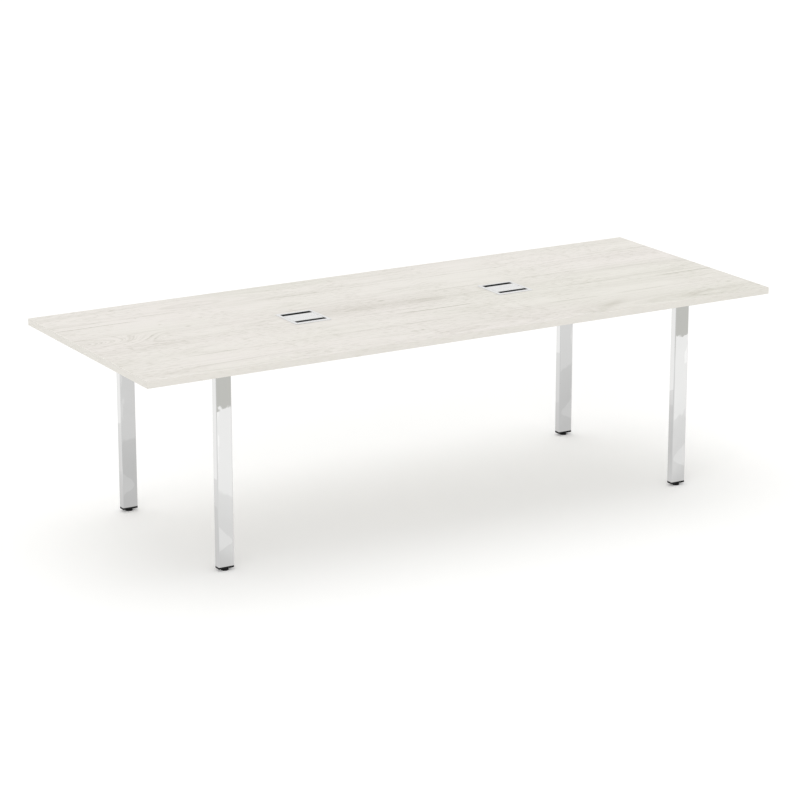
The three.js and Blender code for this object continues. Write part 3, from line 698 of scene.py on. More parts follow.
def grained(net, place, density, colours, roughness, relief, specular):
    """Paint or plastic with a fine grain, and wide clouds in its tone."""
    pattern = net.use(MOULDED_GRAIN, Position=place, Density=density)
    return {
        "Base Color": net.mix(pattern["Cloud"], *colours),
        "Roughness": net.limits(pattern["Cloud"], 0.3, 0.7, *roughness),
        "Normal": net.bump(pattern["Grain"], *relief),
        "Specular IOR Level": specular,
    }


def bristle(net, place):
    """Black nylon strands, each a little lighter or darker than the next."""
    strands = net.use(BRUSHING, Position=place, Density=40.0)["Lines"]
    spread = net.noise(net.stretched(place, STRANDS_PER_METRE), 1.0)
    return {
        "Base Color": net.mix(spread, (0.004, 0.004, 0.004, 1), (0.016, 0.016, 0.015, 1)),
        "Roughness": net.limits(strands, 0.2, 0.8, 0.50, 0.65),
        "Specular IOR Level": 0.15,
    }


BAND_LOW, BAND_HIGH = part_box("edge_band_front")
BAND_MIDDLE = (BAND_LOW[2] + BAND_HIGH[2]) / 2
LONG_EDGE_LAY = ((QUARTER, 0, 0), (0, OAK_EDGE_LINE + BAND_MIDDLE, 0))
SHORT_EDGE_LAY = ((-QUARTER, -QUARTER, 0), (0, OAK_EDGE_LINE - BAND_MIDDLE, 0))
FINISHES = {
    "oak_board": make_material("Whitened oak board", oak),
    "oak_edge_long": make_material("Whitened oak long edge", oak, *LONG_EDGE_LAY, OAK_EDGE_FADE),
    "oak_edge_short": make_material("Whitened oak short edge", oak, *SHORT_EDGE_LAY, OAK_EDGE_FADE),
    "chrome": make_material("Bright chrome", chrome),
    "silver": make_material("Satin silver", silver),
    "zinc": make_material("Zinc plate", zinc),
    "grey_paint": make_material("Grey powder paint", grained, *GREY_PAINT),
    "black_plastic": make_material("Black plastic", grained, *BLACK_PLASTIC),
    "bristle": make_material("Black nylon", bristle),
}


def corners_of(node):
    """A node's lowest and highest corner and its middle."""
    low, high = (Vector(corner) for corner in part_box(node))
    return low, high, (low + high) / 2


def make_piece(name, bm, finish, nodes=(), body="table"):
    """Turns a bmesh into a piece that rides on a body and stands for CAD nodes."""
    bmesh.ops.recalc_face_normals(bm, faces=bm.faces)
    mesh = bpy.data.meshes.new(name)
    bm.to_mesh(mesh)
    bm.free()
    mesh.shade_smooth()
    mesh.set_sharp_from_angle(angle=SHARP_ANGLE)
    mesh.materials.append(FINISHES[finish])
    piece = bpy.data.objects.new(name, mesh)
    bpy.context.collection.objects.link(piece)
    flat_faces = piece.modifiers.new("Flat faces stay flat", "WEIGHTED_NORMAL")
    flat_faces.keep_sharp = True
    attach(piece, body)
    if nodes:
        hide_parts(*nodes)


def keep_node(node, finish):
    """Gives a CAD node, whose shape stays, its finish."""
    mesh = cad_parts[node].data
    mesh.materials.clear()
    mesh.materials.append(FINISHES[finish])


def rounded_rectangle(width, depth, rounding, steps=6):
    """Points round a rectangle with round corners, about its middle."""
    points = []
    for quarter, (side_x, side_y) in enumerate(((1, 1), (-1, 1), (-1, -1), (1, -1))):
        for step in range(steps + 1):
            angle = QUARTER * (quarter + step / steps)
            x = side_x * (width / 2 - rounding) + rounding * math.cos(angle)
            y = side_y * (depth / 2 - rounding) + rounding * math.sin(angle)
            points.append((x, y))
    return points


def circle(radius, middle=(0, 0), segments=32):
    """Points round a circle."""
    angles = [math.tau * step / segments for step in range(segments)]
    return [(middle[0] + radius * math.cos(a), middle[1] + radius * math.sin(a)) for a in angles]


def loft(bm, loops, close=False, caps=False):
    """Skins loops of equally many points. The last loop is joined to the first, or both ends are filled."""
    rows = [[bm.verts.new(point) for point in loop] for loop in loops]
    pairs = list(zip(rows, rows[1:]))
    if close:
        pairs.append((rows[-1], rows[0]))
    for lower, upper in pairs:
        for here in range(len(lower)):
            there = (here + 1) % len(lower)
            bm.faces.new((lower[here], lower[there], upper[there], upper[here]))
    if caps:
        bm.faces.new(rows[0])
        bm.faces.new(rows[-1])


def stacked(bm, levels, middle, **ends):
    """Skins rounded rectangles above one another, from their widths, depths, roundings and heights."""
    loops = []
    for width, depth, rounding, z in levels:
        section = rounded_rectangle(width, depth, rounding)
        loops.append([(middle.x + x, middle.y + y, z) for x, y in section])
    loft(bm, loops, **ends)


def turned(bm, rings, segments=48):
    """A piece turned about Z from rings of radius and height. A radius may be a function of the angle."""
    loops = []
    for radius, height in rings:
        loop = []
        for step in range(segments):
            angle = math.tau * step / segments
            reach = radius(angle) if callable(radius) else radius
            loop.append((reach * math.cos(angle), reach * math.sin(angle), height))
        loops.append(loop)
    loft(bm, loops, caps=True)


def hexagon(flats):
    """The radius of a hexagon at an angle."""
    sixth = math.tau / 6
    return lambda angle: flats / 2 / math.cos(angle % sixth - sixth / 2)


def cross(arm, width):
    """The radius of a cross with four equal arms at an angle."""
    def radius(angle):
        x = max(abs(math.cos(angle)), CLOSE)
        y = max(abs(math.sin(angle)), CLOSE)
        level = min(arm / x, width / 2 / y)
        upright = min(width / 2 / x, arm / y)
        return max(level, upright)
    return radius


def ease(bm, width):
    """Rounds over every sharp edge."""
    bm.normal_update()
    sharp = [edge for edge in bm.edges if edge.is_manifold and edge.calc_face_angle(0) > SHARP_ANGLE]
    bmesh.ops.bevel(bm, geom=sharp, offset=width, segments=2, profile=0.5, affect="EDGES")


def plate(bm, outline, holes, thickness, easing):
    """A flat plate in XY with holes and eased edges, its middle at z = 0."""
    edges = []
    for points in (outline, *holes):
        ring = [bm.verts.new((x, y, -thickness / 2)) for x, y in points]
        edges += [bm.edges.new(pair) for pair in zip(ring, ring[1:] + ring[:1])]
    bmesh.ops.triangle_fill(bm, use_beauty=True, edges=edges)
    raised = bmesh.ops.extrude_face_region(bm, geom=bm.faces[:], use_keep_orig=True)["geom"]
    raised_points = [item for item in raised if isinstance(item, bmesh.types.BMVert)]
    bmesh.ops.translate(bm, verts=raised_points, vec=(0, 0, thickness))
    bmesh.ops.recalc_face_normals(bm, faces=bm.faces)
    ease(bm, easing)


def block(bm, corner, opposite):
    """A plain block between two opposite corners."""
    size = [abs(b - a) for a, b in zip(corner, opposite)]
    middle = (Vector(corner) + Vector(opposite)) / 2
    matrix = Matrix.Translation(middle) @ Matrix.Diagonal((*size, 1))
    bmesh.ops.create_cube(bm, size=1, matrix=matrix)


def tube(bm, width, depth, at):
    """A rectangular tube with open ends; at(a, b, end) places a point of its section at end 0 or 1."""
    outside = rounded_rectangle(width, depth, TUBE_ROUNDING)
    inside = rounded_rectangle(width - 2 * TUBE_WALL, depth - 2 * TUBE_WALL, TUBE_ROUNDING - TUBE_WALL)
    walls = ((outside, 0), (outside, 1), (inside, 1), (inside, 0))
    loft(bm, [[at(a, b, end) for a, b in section] for section, end in walls], close=True)


def make_top():
    """The board with its two cut-outs, drawn out to the glue line."""
    low, high, _ = corners_of("top_board")
    growth = NODE_GAP - GLUE_LINE
    low -= Vector((growth, growth, 0))
    high += Vector((growth, growth, 0))
    xs = [low.x, high.x]
    for end in ENDS:
        _, _, middle = corners_of(f"hatch_{end}_frame")
        xs += [middle.x - CUT_OUT_LENGTH / 2, middle.x + CUT_OUT_LENGTH / 2]
    xs.sort()
    ys = [low.y, -CUT_OUT_DEPTH / 2, CUT_OUT_DEPTH / 2, high.y]
    cut_outs = {(1, 1), (3, 1)}
    cells = {(i, j) for i in range(len(xs) - 1) for j in range(len(ys) - 1)} - cut_outs

    bm = bmesh.new()
    points = {}
    for i, x in enumerate(xs):
        for j, y in enumerate(ys):
            for level, z in enumerate((low.z, high.z)):
                points[i, j, level] = bm.verts.new((x, y, z))
    for i, j in cells:
        ring = [(i, j), (i + 1, j), (i + 1, j + 1), (i, j + 1)]
        for level in (0, 1):
            bm.faces.new([points[(*corner, level)] for corner in ring])
        neighbours = [(i, j - 1), (i + 1, j), (i, j + 1), (i - 1, j)]
        for neighbour, a, b in zip(neighbours, ring, ring[1:] + ring[:1]):
            if neighbour not in cells:
                bm.faces.new([points[(*a, 0)], points[(*b, 0)], points[(*b, 1)], points[(*a, 1)]])
    make_piece("oak_top", bm, "oak_board", ["top_board"])


def make_edge_band(place):
    """One edge band, with its outer edges rounded over."""
    node = f"edge_band_{place}"
    low, high, middle = corners_of(node)
    short = place in ENDS
    if short:
        low.y -= NODE_GAP - GLUE_LINE
        high.y += NODE_GAP - GLUE_LINE
    bm = bmesh.new()
    block(bm, low, high)
    axis = 0 if short else 1
    outer = low[axis] if middle[axis] < 0 else high[axis]
    edges = [e for e in bm.edges if all(abs(v.co[axis] - outer) < CLOSE for v in e.verts)]
    if short:
        edges = [e for e in edges if abs(e.verts[0].co.z - e.verts[1].co.z) < CLOSE]
    bmesh.ops.bevel(bm, geom=edges, offset=BAND_ROUNDING, segments=5, profile=0.5, affect="EDGES")
    make_piece(f"oak_band_{place}", bm, "oak_edge_short" if short else "oak_edge_long", [node])


def make_leg(side, end):
    """A leg tube, with its top cut to the mitre."""
    node = f"leg_{side}_{end}"
    low, high, middle = corners_of(node)
    size = high - low
    outward = SIDES[side]

    def at(x, y, top):
        mitre = high.z - (size.y / 2 - outward * y)
        return (middle.x + x, middle.y + y, mitre if top else low.z)

    bm = bmesh.new()
    tube(bm, size.x, size.y, at)
    make_piece(f"chrome_{node}", bm, "chrome", [node])


def make_crossbar(end):
    """A crossbar tube, with both ends cut to the mitre."""
    node = f"crossbar_{end}"
    low, high, middle = corners_of(node)
    size = high - low

    def at(x, z, back):
        short = size.z / 2 - z
        return (middle.x + x, high.y - short if back else low.y + short, middle.z + z)

    bm = bmesh.new()
    tube(bm, size.x, size.z, at)
    make_piece(f"chrome_{node}", bm, "chrome", [node])


def weld_bead(bm, width, depth, at):
    """A rippled bead round a tube; at(a, b, out) places a point of its section, out along the tube."""
    section = rounded_rectangle(width, depth, TUBE_ROUNDING, steps=4)
    lengths = [math.dist(p, q) for p, q in zip(section, section[1:] + section[:1])]
    count = round(sum(lengths) / WELD_RIPPLE) * 4
    path = []
    walked = 0.0
    for (p, q), length in zip(zip(section, section[1:] + section[:1]), lengths):
        while len(path) < count and len(path) * sum(lengths) / count < walked + length:
            share = (len(path) * sum(lengths) / count - walked) / length
            path.append((p[0] + share * (q[0] - p[0]), p[1] + share * (q[1] - p[1])))
        walked += length
    loops = []
    for step, (a, b) in enumerate(path):
        previous, following = path[step - 1], path[(step + 1) % count]
        normal = Vector((following[1] - previous[1], previous[0] - following[0])).normalized()
        size = WELD_SIZE * (1 + WELD_RIPPLE_HEIGHT * math.sin(math.tau * step / 4))
        bow = WELD_BOW * size
        edge = WELD_EDGE
        profile = ((-edge, size), (edge, size), (bow, bow), (size, edge), (size, -edge), (-edge, -edge))
        loops.append([at(a + normal.x * aside, b + normal.y * aside, out) for aside, out in profile])
    loft(bm, loops, close=True)


def make_stretcher(side):
    """A stretcher tube with its end plates, which have slanting lower corners and a vent, welded on."""
    node = f"stretcher_{side}"
    low, high, middle = corners_of(node)
    bolts = [corners_of(f"stretcher_bolt_left_{number}")[2] for number in BOLT_NUMBERS]
    bolts = [place for place in bolts if place.y * SIDES[side] > 0]
    width = 2 * (min(abs(place.y - middle.y) for place in bolts) - STRETCHER_BOLT_OFFSET)
    height = high.z - low.z
    foot = width / 2 + PLATE_FOOT_MARGIN
    half = (high.y - low.y) / 2
    top = height / 2 - PLATE_INSET
    shoulder = height / 2 - PLATE_SHOULDER
    outline = [(foot, -top), (half, shoulder), (half, top), (-half, top), (-half, shoulder), (-foot, -top)]
    vent = circle(VENT_RADIUS, (0, -height / 2 + VENT_FROM_BOTTOM))
    inner = high.x - PLATE_THICKNESS

    bm = bmesh.new()
    for end in ENDS.values():
        part = bmesh.new()
        plate(part, outline, [vent], PLATE_THICKNESS, PLATE_EASING)
        x = end * (high.x - PLATE_THICKNESS / 2)
        part.transform(Matrix(((0, 0, 1, x), (1, 0, 0, middle.y), (0, 1, 0, middle.z), (0, 0, 0, 1))))
        merge(bm, part)

        def at(a, b, out):
            return (end * (inner - out), middle.y + a, middle.z + b)

        weld_bead(bm, width, height - 2 * PLATE_INSET, at)
    tube(bm, width, height, lambda a, b, far: (inner if far else -inner, middle.y + a, middle.z + b))
    make_piece(f"painted_{node}", bm, "grey_paint", [node])


def merge(bm, part):
    """Adds a finished part to a bmesh."""
    mesh = bpy.data.meshes.new("part")
    part.to_mesh(mesh)
    part.free()
    bm.from_mesh(mesh)
    bpy.data.meshes.remove(mesh)


def dome(radius, height, start, steps=8):
    """Rings of a round head from the radius start on its crown down to its rim."""
    first = math.asin(min(1.0, start / radius))
    angles = [first + (QUARTER - first) * step / steps for step in range(steps + 1)]
    return [(radius * math.sin(angle), height * math.cos(angle)) for angle in angles]


def make_bolt(end, number):
    """A button-head bolt with a hexagon socket."""
    node = f"stretcher_bolt_{end}_{number}"
    low, high, middle = corners_of(node)
    radius = (high.y - low.y) / 2
    shank = (high.x - low.x) - BOLT_HEAD
    socket = hexagon(BOLT_SOCKET_FLATS)
    crown = BOLT_HEAD - BOLT_CROWN_DROP
    rings = [(socket, BOLT_HEAD - BOLT_SOCKET_DEPTH), (socket, crown - BOLT_SOCKET_BEVEL)]
    rings += dome(radius, crown, BOLT_SOCKET_FLATS / 2 + BOLT_SOCKET_RIM)
    rings += [(radius, 0.0), (BOLT_RADIUS, 0.0)]
    rings += [(BOLT_RADIUS, -shank + BOLT_POINT), (BOLT_RADIUS - BOLT_POINT, -shank)]
    bm = bmesh.new()
    turned(bm, rings)
    inward = -ENDS[end]
    under_head = low.x + shank if inward > 0 else high.x - shank
    turn = Matrix.Rotation(inward * QUARTER, 4, "Y")
    bm.transform(Matrix.Translation((under_head, middle.y, middle.z)) @ turn)
    make_piece(f"zinc_{node}", bm, "zinc", [node])


def pan_screw(bm, head_radius, head_height, radius, length):
    """A pan-head screw with a cross recess, pointing up from z = 0 under its head."""
    arm_share, depth_share, crown_share = RECESS_SHARES
    arm = min(RECESS_ARM, arm_share * head_radius)
    recess = cross(arm, RECESS_WIDTH * head_radius / SCREW_HEAD_RADIUS)
    deep = min(RECESS_DEPTH, depth_share * head_height)
    crown = dome(head_radius, head_height - SCREW_CROWN_DROP, crown_share * head_radius)
    rings = [(recess, -head_height + deep), (recess, -head_height + 0.05 * MM)]
    rings += [(reach, -height) for reach, height in crown]
    rings += [(head_radius - 0.2 * MM, 0.0), (radius, 0.0)]
    rings += [(radius, length - SCREW_POINT), (SCREW_TIP_RADIUS, length)]
    turned(bm, rings, segments=56)


def make_top_screw(side, end):
    """A screw up through a crossbar into the top."""
    node = f"top_screw_{side}_{end}"
    low, high, middle = corners_of(node)
    bm = bmesh.new()
    pan_screw(bm, (high.x - low.x) / 2, SCREW_HEAD, SCREW_RADIUS, high.z - low.z - SCREW_HEAD)
    bm.transform(Matrix.Translation((middle.x, middle.y, low.z + SCREW_HEAD)))
    make_piece(f"zinc_{node}", bm, "zinc", [node])


def make_cap(side, end):
    """The black end cap of a leg: a rim as wide as the tube and a plug inside it."""
    node = f"leg_cap_{side}_{end}"
    low, high, middle = corners_of(node)
    width, depth = high.x - low.x, high.y - low.y
    insets = (
        (CAP_EASING, low.z),
        (0.3 * CAP_EASING, low.z + 0.3 * CAP_EASING),
        (0.0, low.z + CAP_EASING),
        (0.0, low.z + CAP_RIM),
        (CAP_CLEARANCE, low.z + CAP_RIM),
        (CAP_CLEARANCE, high.z),
    )
    levels = []
    for inset, z in insets:
        rounding = max(TUBE_ROUNDING - inset, CAP_LEAST_ROUNDING)
        levels.append((width - 2 * inset, depth - 2 * inset, rounding, z))
    bm = bmesh.new()
    stacked(bm, levels, middle, caps=True)
    make_piece(f"plastic_{node}", bm, "black_plastic", [node])


def thread(bm, radius, low, high, segments=24, steps=6):
    """A rod along Z with a helical thread."""
    count = round((high - low) / THREAD_PITCH * steps)
    loops = []
    for ring in range(count + 1):
        z = low + (high - low) * ring / count
        end_taper = THREAD_TAPER * max(0.0, 1 - (high - z) / THREAD_TAPER_LENGTH)
        loop = []
        for step in range(segments):
            phase = (z / THREAD_PITCH - step / segments) % 1.0
            reach = radius - THREAD_DEPTH * abs(2 * phase - 1) - end_taper
            angle = math.tau * step / segments
            loop.append((reach * math.cos(angle), reach * math.sin(angle), z))
        loops.append(loop)
    loft(bm, loops, caps=True)


def make_foot(side, end):
    """A levelling foot: a threaded spindle with its head in a moulded pad."""
    body = f"foot_{side}_{end}"
    node = f"foot_spindle_{side}_{end}"
    low, high, middle = corners_of(node)
    bm = bmesh.new()
    head_top = low.z + SPINDLE_HEAD_HEIGHT
    thread(bm, SPINDLE_RADIUS, head_top - SPINDLE_HEAD_LAP, high.z)
    turned(bm, [(SPINDLE_HEAD_RADIUS, low.z), (SPINDLE_HEAD_RADIUS, head_top)], segments=6)
    bm.transform(Matrix.Translation((middle.x, middle.y, 0)))
    make_piece(f"zinc_{node}", bm, "zinc", [node], body)

    node = f"foot_pad_{side}_{end}"
    low, high, middle = corners_of(node)
    radius = (high.x - low.x) / 2
    height = high.z - low.z
    rings = [(radius - inset, z) for inset, z in PAD_RIM]
    rings += [(PAD_TOP_RADIUS + out, height - depth) for out, depth in PAD_TOP]
    rings += [(PAD_BORE_RADIUS, height), (PAD_BORE_RADIUS, height - PAD_BORE_DEPTH)]
    bm = bmesh.new()
    turned(bm, rings, segments=64)
    bm.transform(Matrix.Translation((middle.x, middle.y, low.z)))
    make_piece(f"plastic_{node}", bm, "black_plastic", [node], body)


def make_hatch_frame(end):
    """The frame of a cable hatch: a bevelled flange, a collar through the board, ledges and brush shelves."""
    node = f"hatch_{end}_frame"
    low, high, middle = corners_of(node)
    width, depth = high.x - low.x, high.y - low.y
    under = corners_of("top_board")[1].z + NODE_GAP
    soft = FLANGE_EASING
    flange_brow, flange_top = FLANGE_TOP_ROUNDINGS
    opening_top, opening_brow, opening_wall = OPENING_ROUNDINGS
    flange_levels = (
        (0.0, HATCH_ROUNDING, under),
        (0.0, HATCH_ROUNDING, high.z - FLANGE_BEVEL - soft),
        (-0.4 * soft, HATCH_ROUNDING, high.z - FLANGE_BEVEL + 0.2 * soft),
        (-2 * FLANGE_BEVEL + 0.6 * soft, flange_brow, high.z - 0.3 * soft),
        (-2 * FLANGE_BEVEL - 2 * soft, flange_top, high.z),
    )
    opening_levels = (
        (2 * soft, opening_top, high.z),
        (0.5 * soft, opening_brow, high.z - 0.25 * soft),
        (0.0, opening_wall, high.z - soft),
        (0.0, opening_wall, low.z),
        (2 * COLLAR_WALL, COLLAR_WALL, low.z),
        (2 * COLLAR_WALL, COLLAR_WALL, under),
    )
    levels = [(width + more, depth + more, rounding, z) for more, rounding, z in flange_levels]
    length, breadth = HATCH_OPENING
    levels += [(length + more, breadth + more, rounding, z) for more, rounding, z in opening_levels]
    bm = bmesh.new()
    stacked(bm, levels, middle, close=True)

    sink = COLLAR_WALL / 2
    flap_low = corners_of(f"hatch_{end}_flap_front")[0]
    ledge_top = high.z - FLAP_PLATE - NODE_GAP
    ledge_near = 2 * FLAP_HEEL + LEDGE_CLEARANCE + NODE_GAP
    ledge_far = -flap_low.y - FLAP_LIP_WIDTH - LEDGE_CLEARANCE
    brush_low = corners_of(f"hatch_{end}_brush_front")[0]
    for along in ENDS.values():
        for across in SIDES.values():
            wall = middle.x + along * (length / 2 + sink)
            reach = middle.x + along * (length / 2 - LEDGE_REACH)
            under_ledge = (wall, across * ledge_near, ledge_top - LEDGE_HEIGHT)
            block(bm, under_ledge, (reach, across * ledge_far, ledge_top))
    shelf_top = brush_low.z - NODE_GAP
    for across in SIDES.values():
        wall = across * (breadth / 2 + sink)
        reach = across * (breadth / 2 - BRUSH_SHELF_REACH)
        half = length / 2 + sink
        under_shelf = (middle.x - half, wall, shelf_top - BRUSH_SHELF_HEIGHT)
        block(bm, under_shelf, (middle.x + half, reach, shelf_top))
    make_piece(f"silver_{node}", bm, "silver", [node])


def make_flap(end, side):
    """A hatch flap: a round heel about its hinge pin, a plate and a downturned finger lip."""
    node = f"hatch_{end}_flap_{side}"
    low, high, middle = corners_of(node)
    across = SIDES[side]
    axis_z = high.z - FLAP_HEEL
    reach = high.y - low.y - FLAP_HEEL
    under = FLAP_HEEL - FLAP_PLATE
    lip = FLAP_HEEL - FLAP_LIP_DEPTH
    last = math.pi - math.asin(under / FLAP_HEEL) - math.tau
    arc = [QUARTER + (last - QUARTER) * step / FLAP_HEEL_STEPS for step in range(FLAP_HEEL_STEPS + 1)]
    outline = [(FLAP_HEEL * math.cos(angle), FLAP_HEEL * math.sin(angle)) for angle in arc]
    outline += [
        (-reach + FLAP_LIP_WIDTH, under),
        (-reach + FLAP_LIP_WIDTH, lip),
        (-reach + FLAP_BEVEL, lip),
        (-reach, lip + FLAP_BEVEL),
        (-reach, FLAP_HEEL - FLAP_BEVEL),
        (-reach + FLAP_BEVEL, FLAP_HEEL),
    ]
    bm = bmesh.new()
    plate(bm, outline, [circle(PIN_BORE, segments=20)], high.x - low.x, FLAP_EASING)
    axis_y = (high.y - FLAP_HEEL) if across < 0 else (low.y + FLAP_HEEL)
    bm.transform(Matrix(((0, 0, 1, middle.x), (-across, 0, 0, axis_y), (0, 1, 0, axis_z), (0, 0, 0, 1))))
    make_piece(f"silver_{node}", bm, "silver", [node], f"flap_{end}_{side}")


def make_brush(end, side):
    """A cable brush: a backing strip and rows of fine strands that reach over the slot."""
    node = f"hatch_{end}_brush_{side}"
    low, high, _ = corners_of(node)
    across = SIDES[side]
    draw = random.Random(f"{end} {side}")
    outer = low.y if across < 0 else high.y
    tip = high.y if across < 0 else low.y
    inner = outer - across * BRUSH_BACKING
    bm = bmesh.new()
    block(bm, (low.x, outer, low.z), (high.x, inner, high.z))
    ease(bm, BRUSH_EASING)
    root = inner + across * BRISTLE_ROOT
    count = int((high.x - low.x - BRISTLE_MARGINS) / BRISTLE_PITCH)
    stray_along, stray_up, most_sway, most_droop, shortest = BRISTLE_STRAY
    section = circle(BRISTLE_RADIUS, segments=4)
    for row in range(BRISTLE_ROWS):
        level = high.z - BRISTLE_TOP_ROW - row * BRISTLE_ROW_PITCH
        start = low.x + BRISTLE_START + 0.5 * (row % 2) * BRISTLE_PITCH
        for strand in range(count):
            x = start + strand * BRISTLE_PITCH + draw.uniform(-stray_along, stray_along)
            z = level + draw.uniform(-stray_up, stray_up)
            sway = draw.uniform(-most_sway, most_sway)
            droop = draw.uniform(0.0, most_droop)
            length = draw.uniform(shortest, 1.0)
            loops = []
            for share in BRISTLE_BENDS:
                here_x = min(max(x + sway * share ** 2, low.x + BRISTLE_RADIUS), high.x - BRISTLE_RADIUS)
                here_y = root + (tip - root) * length * share
                here_z = z - droop * share ** 2
                loops.append([(here_x + a, here_y, here_z + b) for a, b in section])
            loft(bm, loops, caps=True)
    make_piece(f"nylon_{node}", bm, "bristle", [node])


def make_clamp(end, place):
    """A bent clamp under the top at one end of a hatch, and the screw that holds it."""
    node = f"hatch_{end}_clamp_{place}"
    low, high, middle = corners_of(node)
    outward = ENDS[place]
    reach, height, thick = high.x - low.x, high.z - low.z, CLAMP_THICKNESS
    angles = [QUARTER * step / 6 for step in range(7)]
    bend = [(-thick + thick * math.cos(angle), -thick + thick * math.sin(angle)) for angle in angles]
    outline = [(0, -height), *bend, (-reach, 0), (-reach, -thick), (-thick, -thick), (-thick, -height)]
    bm = bmesh.new()
    plate(bm, outline, [], high.y - low.y, CLAMP_EASING)
    corner_x = low.x if outward > 0 else high.x
    bm.transform(Matrix(((-outward, 0, 0, corner_x), (0, 0, 1, middle.y), (0, 1, 0, high.z), (0, 0, 0, 1))))
    make_piece(f"zinc_{node}", bm, "zinc", [node])

    bm = bmesh.new()
    pan_screw(bm, *CLAMP_SCREW)
    screw_x = corner_x + outward * CLAMP_SCREW_PLACE * reach
    bm.transform(Matrix.Translation((screw_x, middle.y, high.z - thick)))
    make_piece(f"hatch_{end}_clamp_screw_{place}", bm, "zinc")


def grey_stops(zones, gain=1.0):
    """Stops of a ramp, from places and how bright they are."""
    stops = []
    for place, bright in zones:
        tone = bright * gain
        stops.append((place, (tone, tone, tone * MIRRORED_FLOOR_TINT, 1)))
    return stops


def painted_leg_reflection(net, x, y, shift, leg):
    """The strip of floor that a leg's front face reflects, 1 on the strip, and the painted shade and
    highlight there.
    """
    side, end = leg
    slant, tilt, gain = LEG_STRIPS[leg]
    low, _, middle = corners_of(f"leg_{side}_{end}")
    across = net.total(x, net.times(y, slant), -(middle.x + slant * low.y))
    ahead = net.minus(low.y, y)
    strip = net.fading(net.math("ABSOLUTE", across), *LEG_STRIP_EDGES)
    strip = net.times(strip, net.math("GREATER_THAN", ahead, 0.0))

    reach = net.total(ahead, net.times(across, tilt), net.times(shift, LEG_STRIP_WAVE))
    zones = LEG_PAINTED_REFLECTIONS[side]
    tone = net.ramp(reach, zones[0][0], zones[-1][0], grey_stops(zones, gain))

    start, widest, finish = LEG_PAINTED_HIGHLIGHT
    width = net.times(net.limits(ahead, start, widest), net.fading(ahead, widest, finish), LEG_FIN_REACH)
    inward = net.minus(LEG_FIN_ROOT, net.times(across, ENDS[end]))
    # Paler fins are painted highlights in the reflection
    fin = net.limits(net.minus(width, inward), -LEG_FIN_BLUR, LEG_FIN_BLUR, 1.0, 1.0 + LEG_FIN_GAIN)
    return strip, net.add("ShaderNodeVectorMath", {0: tone, "Scale": fin}, operation="SCALE")


def painted_reflection_of_floor(net):
    """Painted floor in bright metal: painted shadow under the table, white round it and painted grey far in
    front.
    """
    place = net.add("ShaderNodeTexCoord", output="Object")
    x, y, _ = net.split(place)
    low, high = (Vector(corner) for corner in cad_box)
    past_x = net.minus(net.math("ABSOLUTE", x), high.x)
    past_front = net.minus(low.y, y)
    past_back = net.minus(y, high.y)
    strip = 0.0
    for middle, slant in BRIGHT_STRIPS:
        off = net.apart(net.total(x, net.times(y, slant)), middle)
        strip = net.most(strip, net.fading(off, *BRIGHT_STRIP_EDGES))

    inside = net.math("MINIMUM", net.most(past_front, past_back, past_x), 0.0)
    speed = net.limits(strip, 0.0, 1.0, 1.0, BRIGHT_STRIP_SPEED)
    away_x = net.times(net.most(past_x, 0.0), speed)
    away_back = net.times(net.most(past_back, 0.0), speed)
    ahead = net.join(away_x, net.most(past_front, away_back, 0.0))
    away = net.add("ShaderNodeVectorMath", {0: ahead}, output="Value", operation="LENGTH")
    wave = net.noise(place, scale=MIRRORED_FLOOR_WAVES_PER_METRE)
    shift = net.times(net.minus(wave, 0.5), MIRRORED_FLOOR_WAVE)
    first, last = PAINTED_FLOOR_REFLECTION[0][0], PAINTED_FLOOR_REFLECTION[-1][0]
    clear = net.most(strip, net.math("GREATER_THAN", y, 0.0))
    limit = net.limits(clear, 0.0, 1.0, BETWEEN_STRIPS_LIMIT, last)
    distance = net.total(inside, away, net.times(strip, BRIGHT_STRIP_LEAD), shift)
    tone = net.ramp(net.math("MINIMUM", distance, limit), first, last, grey_stops(PAINTED_FLOOR_REFLECTION))
    # Each leg reflects its own strip, with painted shade and painted highlights
    for leg in LEG_STRIPS:
        leg_strip, leg_tone = painted_leg_reflection(net, x, y, shift, leg)
        tone = net.mix(leg_strip, tone, leg_tone)
    # Far in front the reflection is painted grey
    return net.mix(net.fading(y, *PAINTED_GREY_EDGES), tone, PAINTED_GREY_REFLECTION)


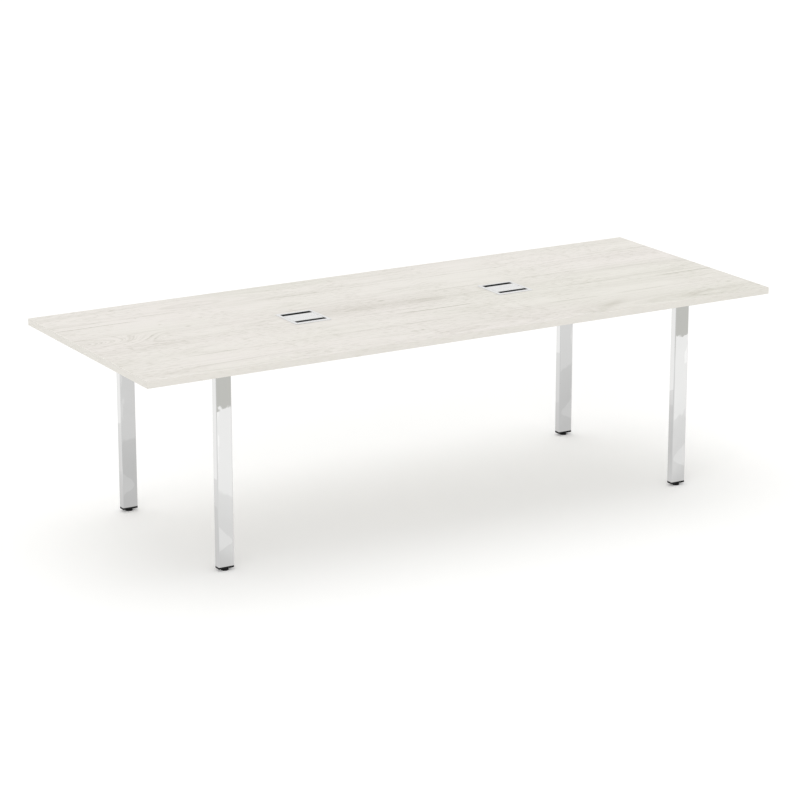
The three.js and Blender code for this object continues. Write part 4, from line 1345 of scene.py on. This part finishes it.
def make_floor():
    """A wide white floor that takes the table's shadow, and isn't there for a camera below it."""
    half = FLOOR_HALF_SIZE
    corners = ((-half, -half), (half, -half), (half, half), (-half, half))
    bm = bmesh.new()
    bm.faces.new([bm.verts.new((x, y, 0)) for x, y in corners])
    mesh = bpy.data.meshes.new("studio_floor")
    bm.to_mesh(mesh)
    bm.free()
    material = bpy.data.materials.new("Studio floor")
    material.use_nodes = True
    material.node_tree.nodes.clear()
    mesh.materials.append(material)
    floor = bpy.data.objects.new("studio_floor", mesh)
    bpy.context.collection.objects.link(floor)

    net = Net(material.node_tree)
    rays = net.tree.nodes.new("ShaderNodeLightPath").outputs
    seen = net.most(rays["Is Camera Ray"], rays["Is Transmission Ray"])
    glow = net.add("ShaderNodeEmission", {"Color": WHITE, "Strength": net.times(seen, FLOOR_GLOW)})
    matt = net.add("ShaderNodeBsdfDiffuse", {"Color": FLOOR_COLOUR})
    direct = net.add("ShaderNodeAddShader", {0: glow, 1: matt})
    # Bright metal sees the floor as a glowing painted reflection, with painted shadow and highlights, not as
    # it is lit
    mirrored = net.add("ShaderNodeEmission", {"Color": painted_reflection_of_floor(net), "Strength": 1.0})
    above = net.add("ShaderNodeMixShader", {0: rays["Is Glossy Ray"], 1: direct, 2: mirrored})
    under = net.add("ShaderNodeNewGeometry", output="Backfacing")
    gone = net.times(under, rays["Is Camera Ray"])
    clear = net.add("ShaderNodeBsdfTransparent")
    surface = net.add("ShaderNodeMixShader", {0: gone, 1: above, 2: clear})
    net.feed(net.tree.nodes.new("ShaderNodeOutputMaterial").inputs["Surface"], surface)


def make_light():
    """Even white light from all round, and two very soft lamps."""
    world = bpy.data.worlds.new("White studio")
    world.use_nodes = True
    net = Net(world.node_tree)
    rays = world.node_tree.nodes.new("ShaderNodeLightPath").outputs
    seen = net.total(rays["Is Camera Ray"], rays["Is Glossy Ray"], rays["Is Transmission Ray"])
    background = world.node_tree.nodes["Background"].inputs
    background["Color"].default_value = WHITE
    net.feed(background["Strength"], net.limits(seen, 0.0, 1.0, SKY_LIGHT, 1.0))
    bpy.context.scene.world = world

    for name, (strength, spread, height, turn) in LAMPS.items():
        lamp = bpy.data.objects.new(name, bpy.data.lights.new(name, "SUN"))
        lamp.data.energy = strength
        lamp.data.angle = math.radians(spread)
        lamp.rotation_euler = (-QUARTER + math.radians(height), 0, math.radians(turn))
        lamp.visible_glossy = False
        bpy.context.collection.objects.link(lamp)


def make_camera():
    """The camera at the photograph's place."""
    camera = bpy.data.objects.new("camera", bpy.data.cameras.new("camera"))
    camera.data.lens = CAMERA_LENS_MM
    camera.data.sensor_width = CAMERA_SENSOR_MM
    camera.location = CAMERA_PLACE
    camera.rotation_euler = (QUARTER - CAMERA_TILT, 0, -CAMERA_TURN)
    bpy.context.collection.objects.link(camera)
    bpy.context.scene.camera = camera


make_top()
for place in (*SIDES, *ENDS):
    make_edge_band(place)
for end in ENDS:
    make_crossbar(end)
    make_hatch_frame(end)
    for number in BOLT_NUMBERS:
        make_bolt(end, number)
    for place in ENDS:
        make_clamp(end, place)
    for side in SIDES:
        make_leg(side, end)
        make_top_screw(side, end)
        make_cap(side, end)
        make_foot(side, end)
        make_flap(end, side)
        make_brush(end, side)
        keep_node(f"foot_nut_{side}_{end}", "zinc")
        keep_node(f"hatch_{end}_pin_{side}", "zinc")
for side in SIDES:
    make_stretcher(side)

make_floor()
make_light()
make_camera()
bpy.context.scene.view_settings.view_transform = "Standard"
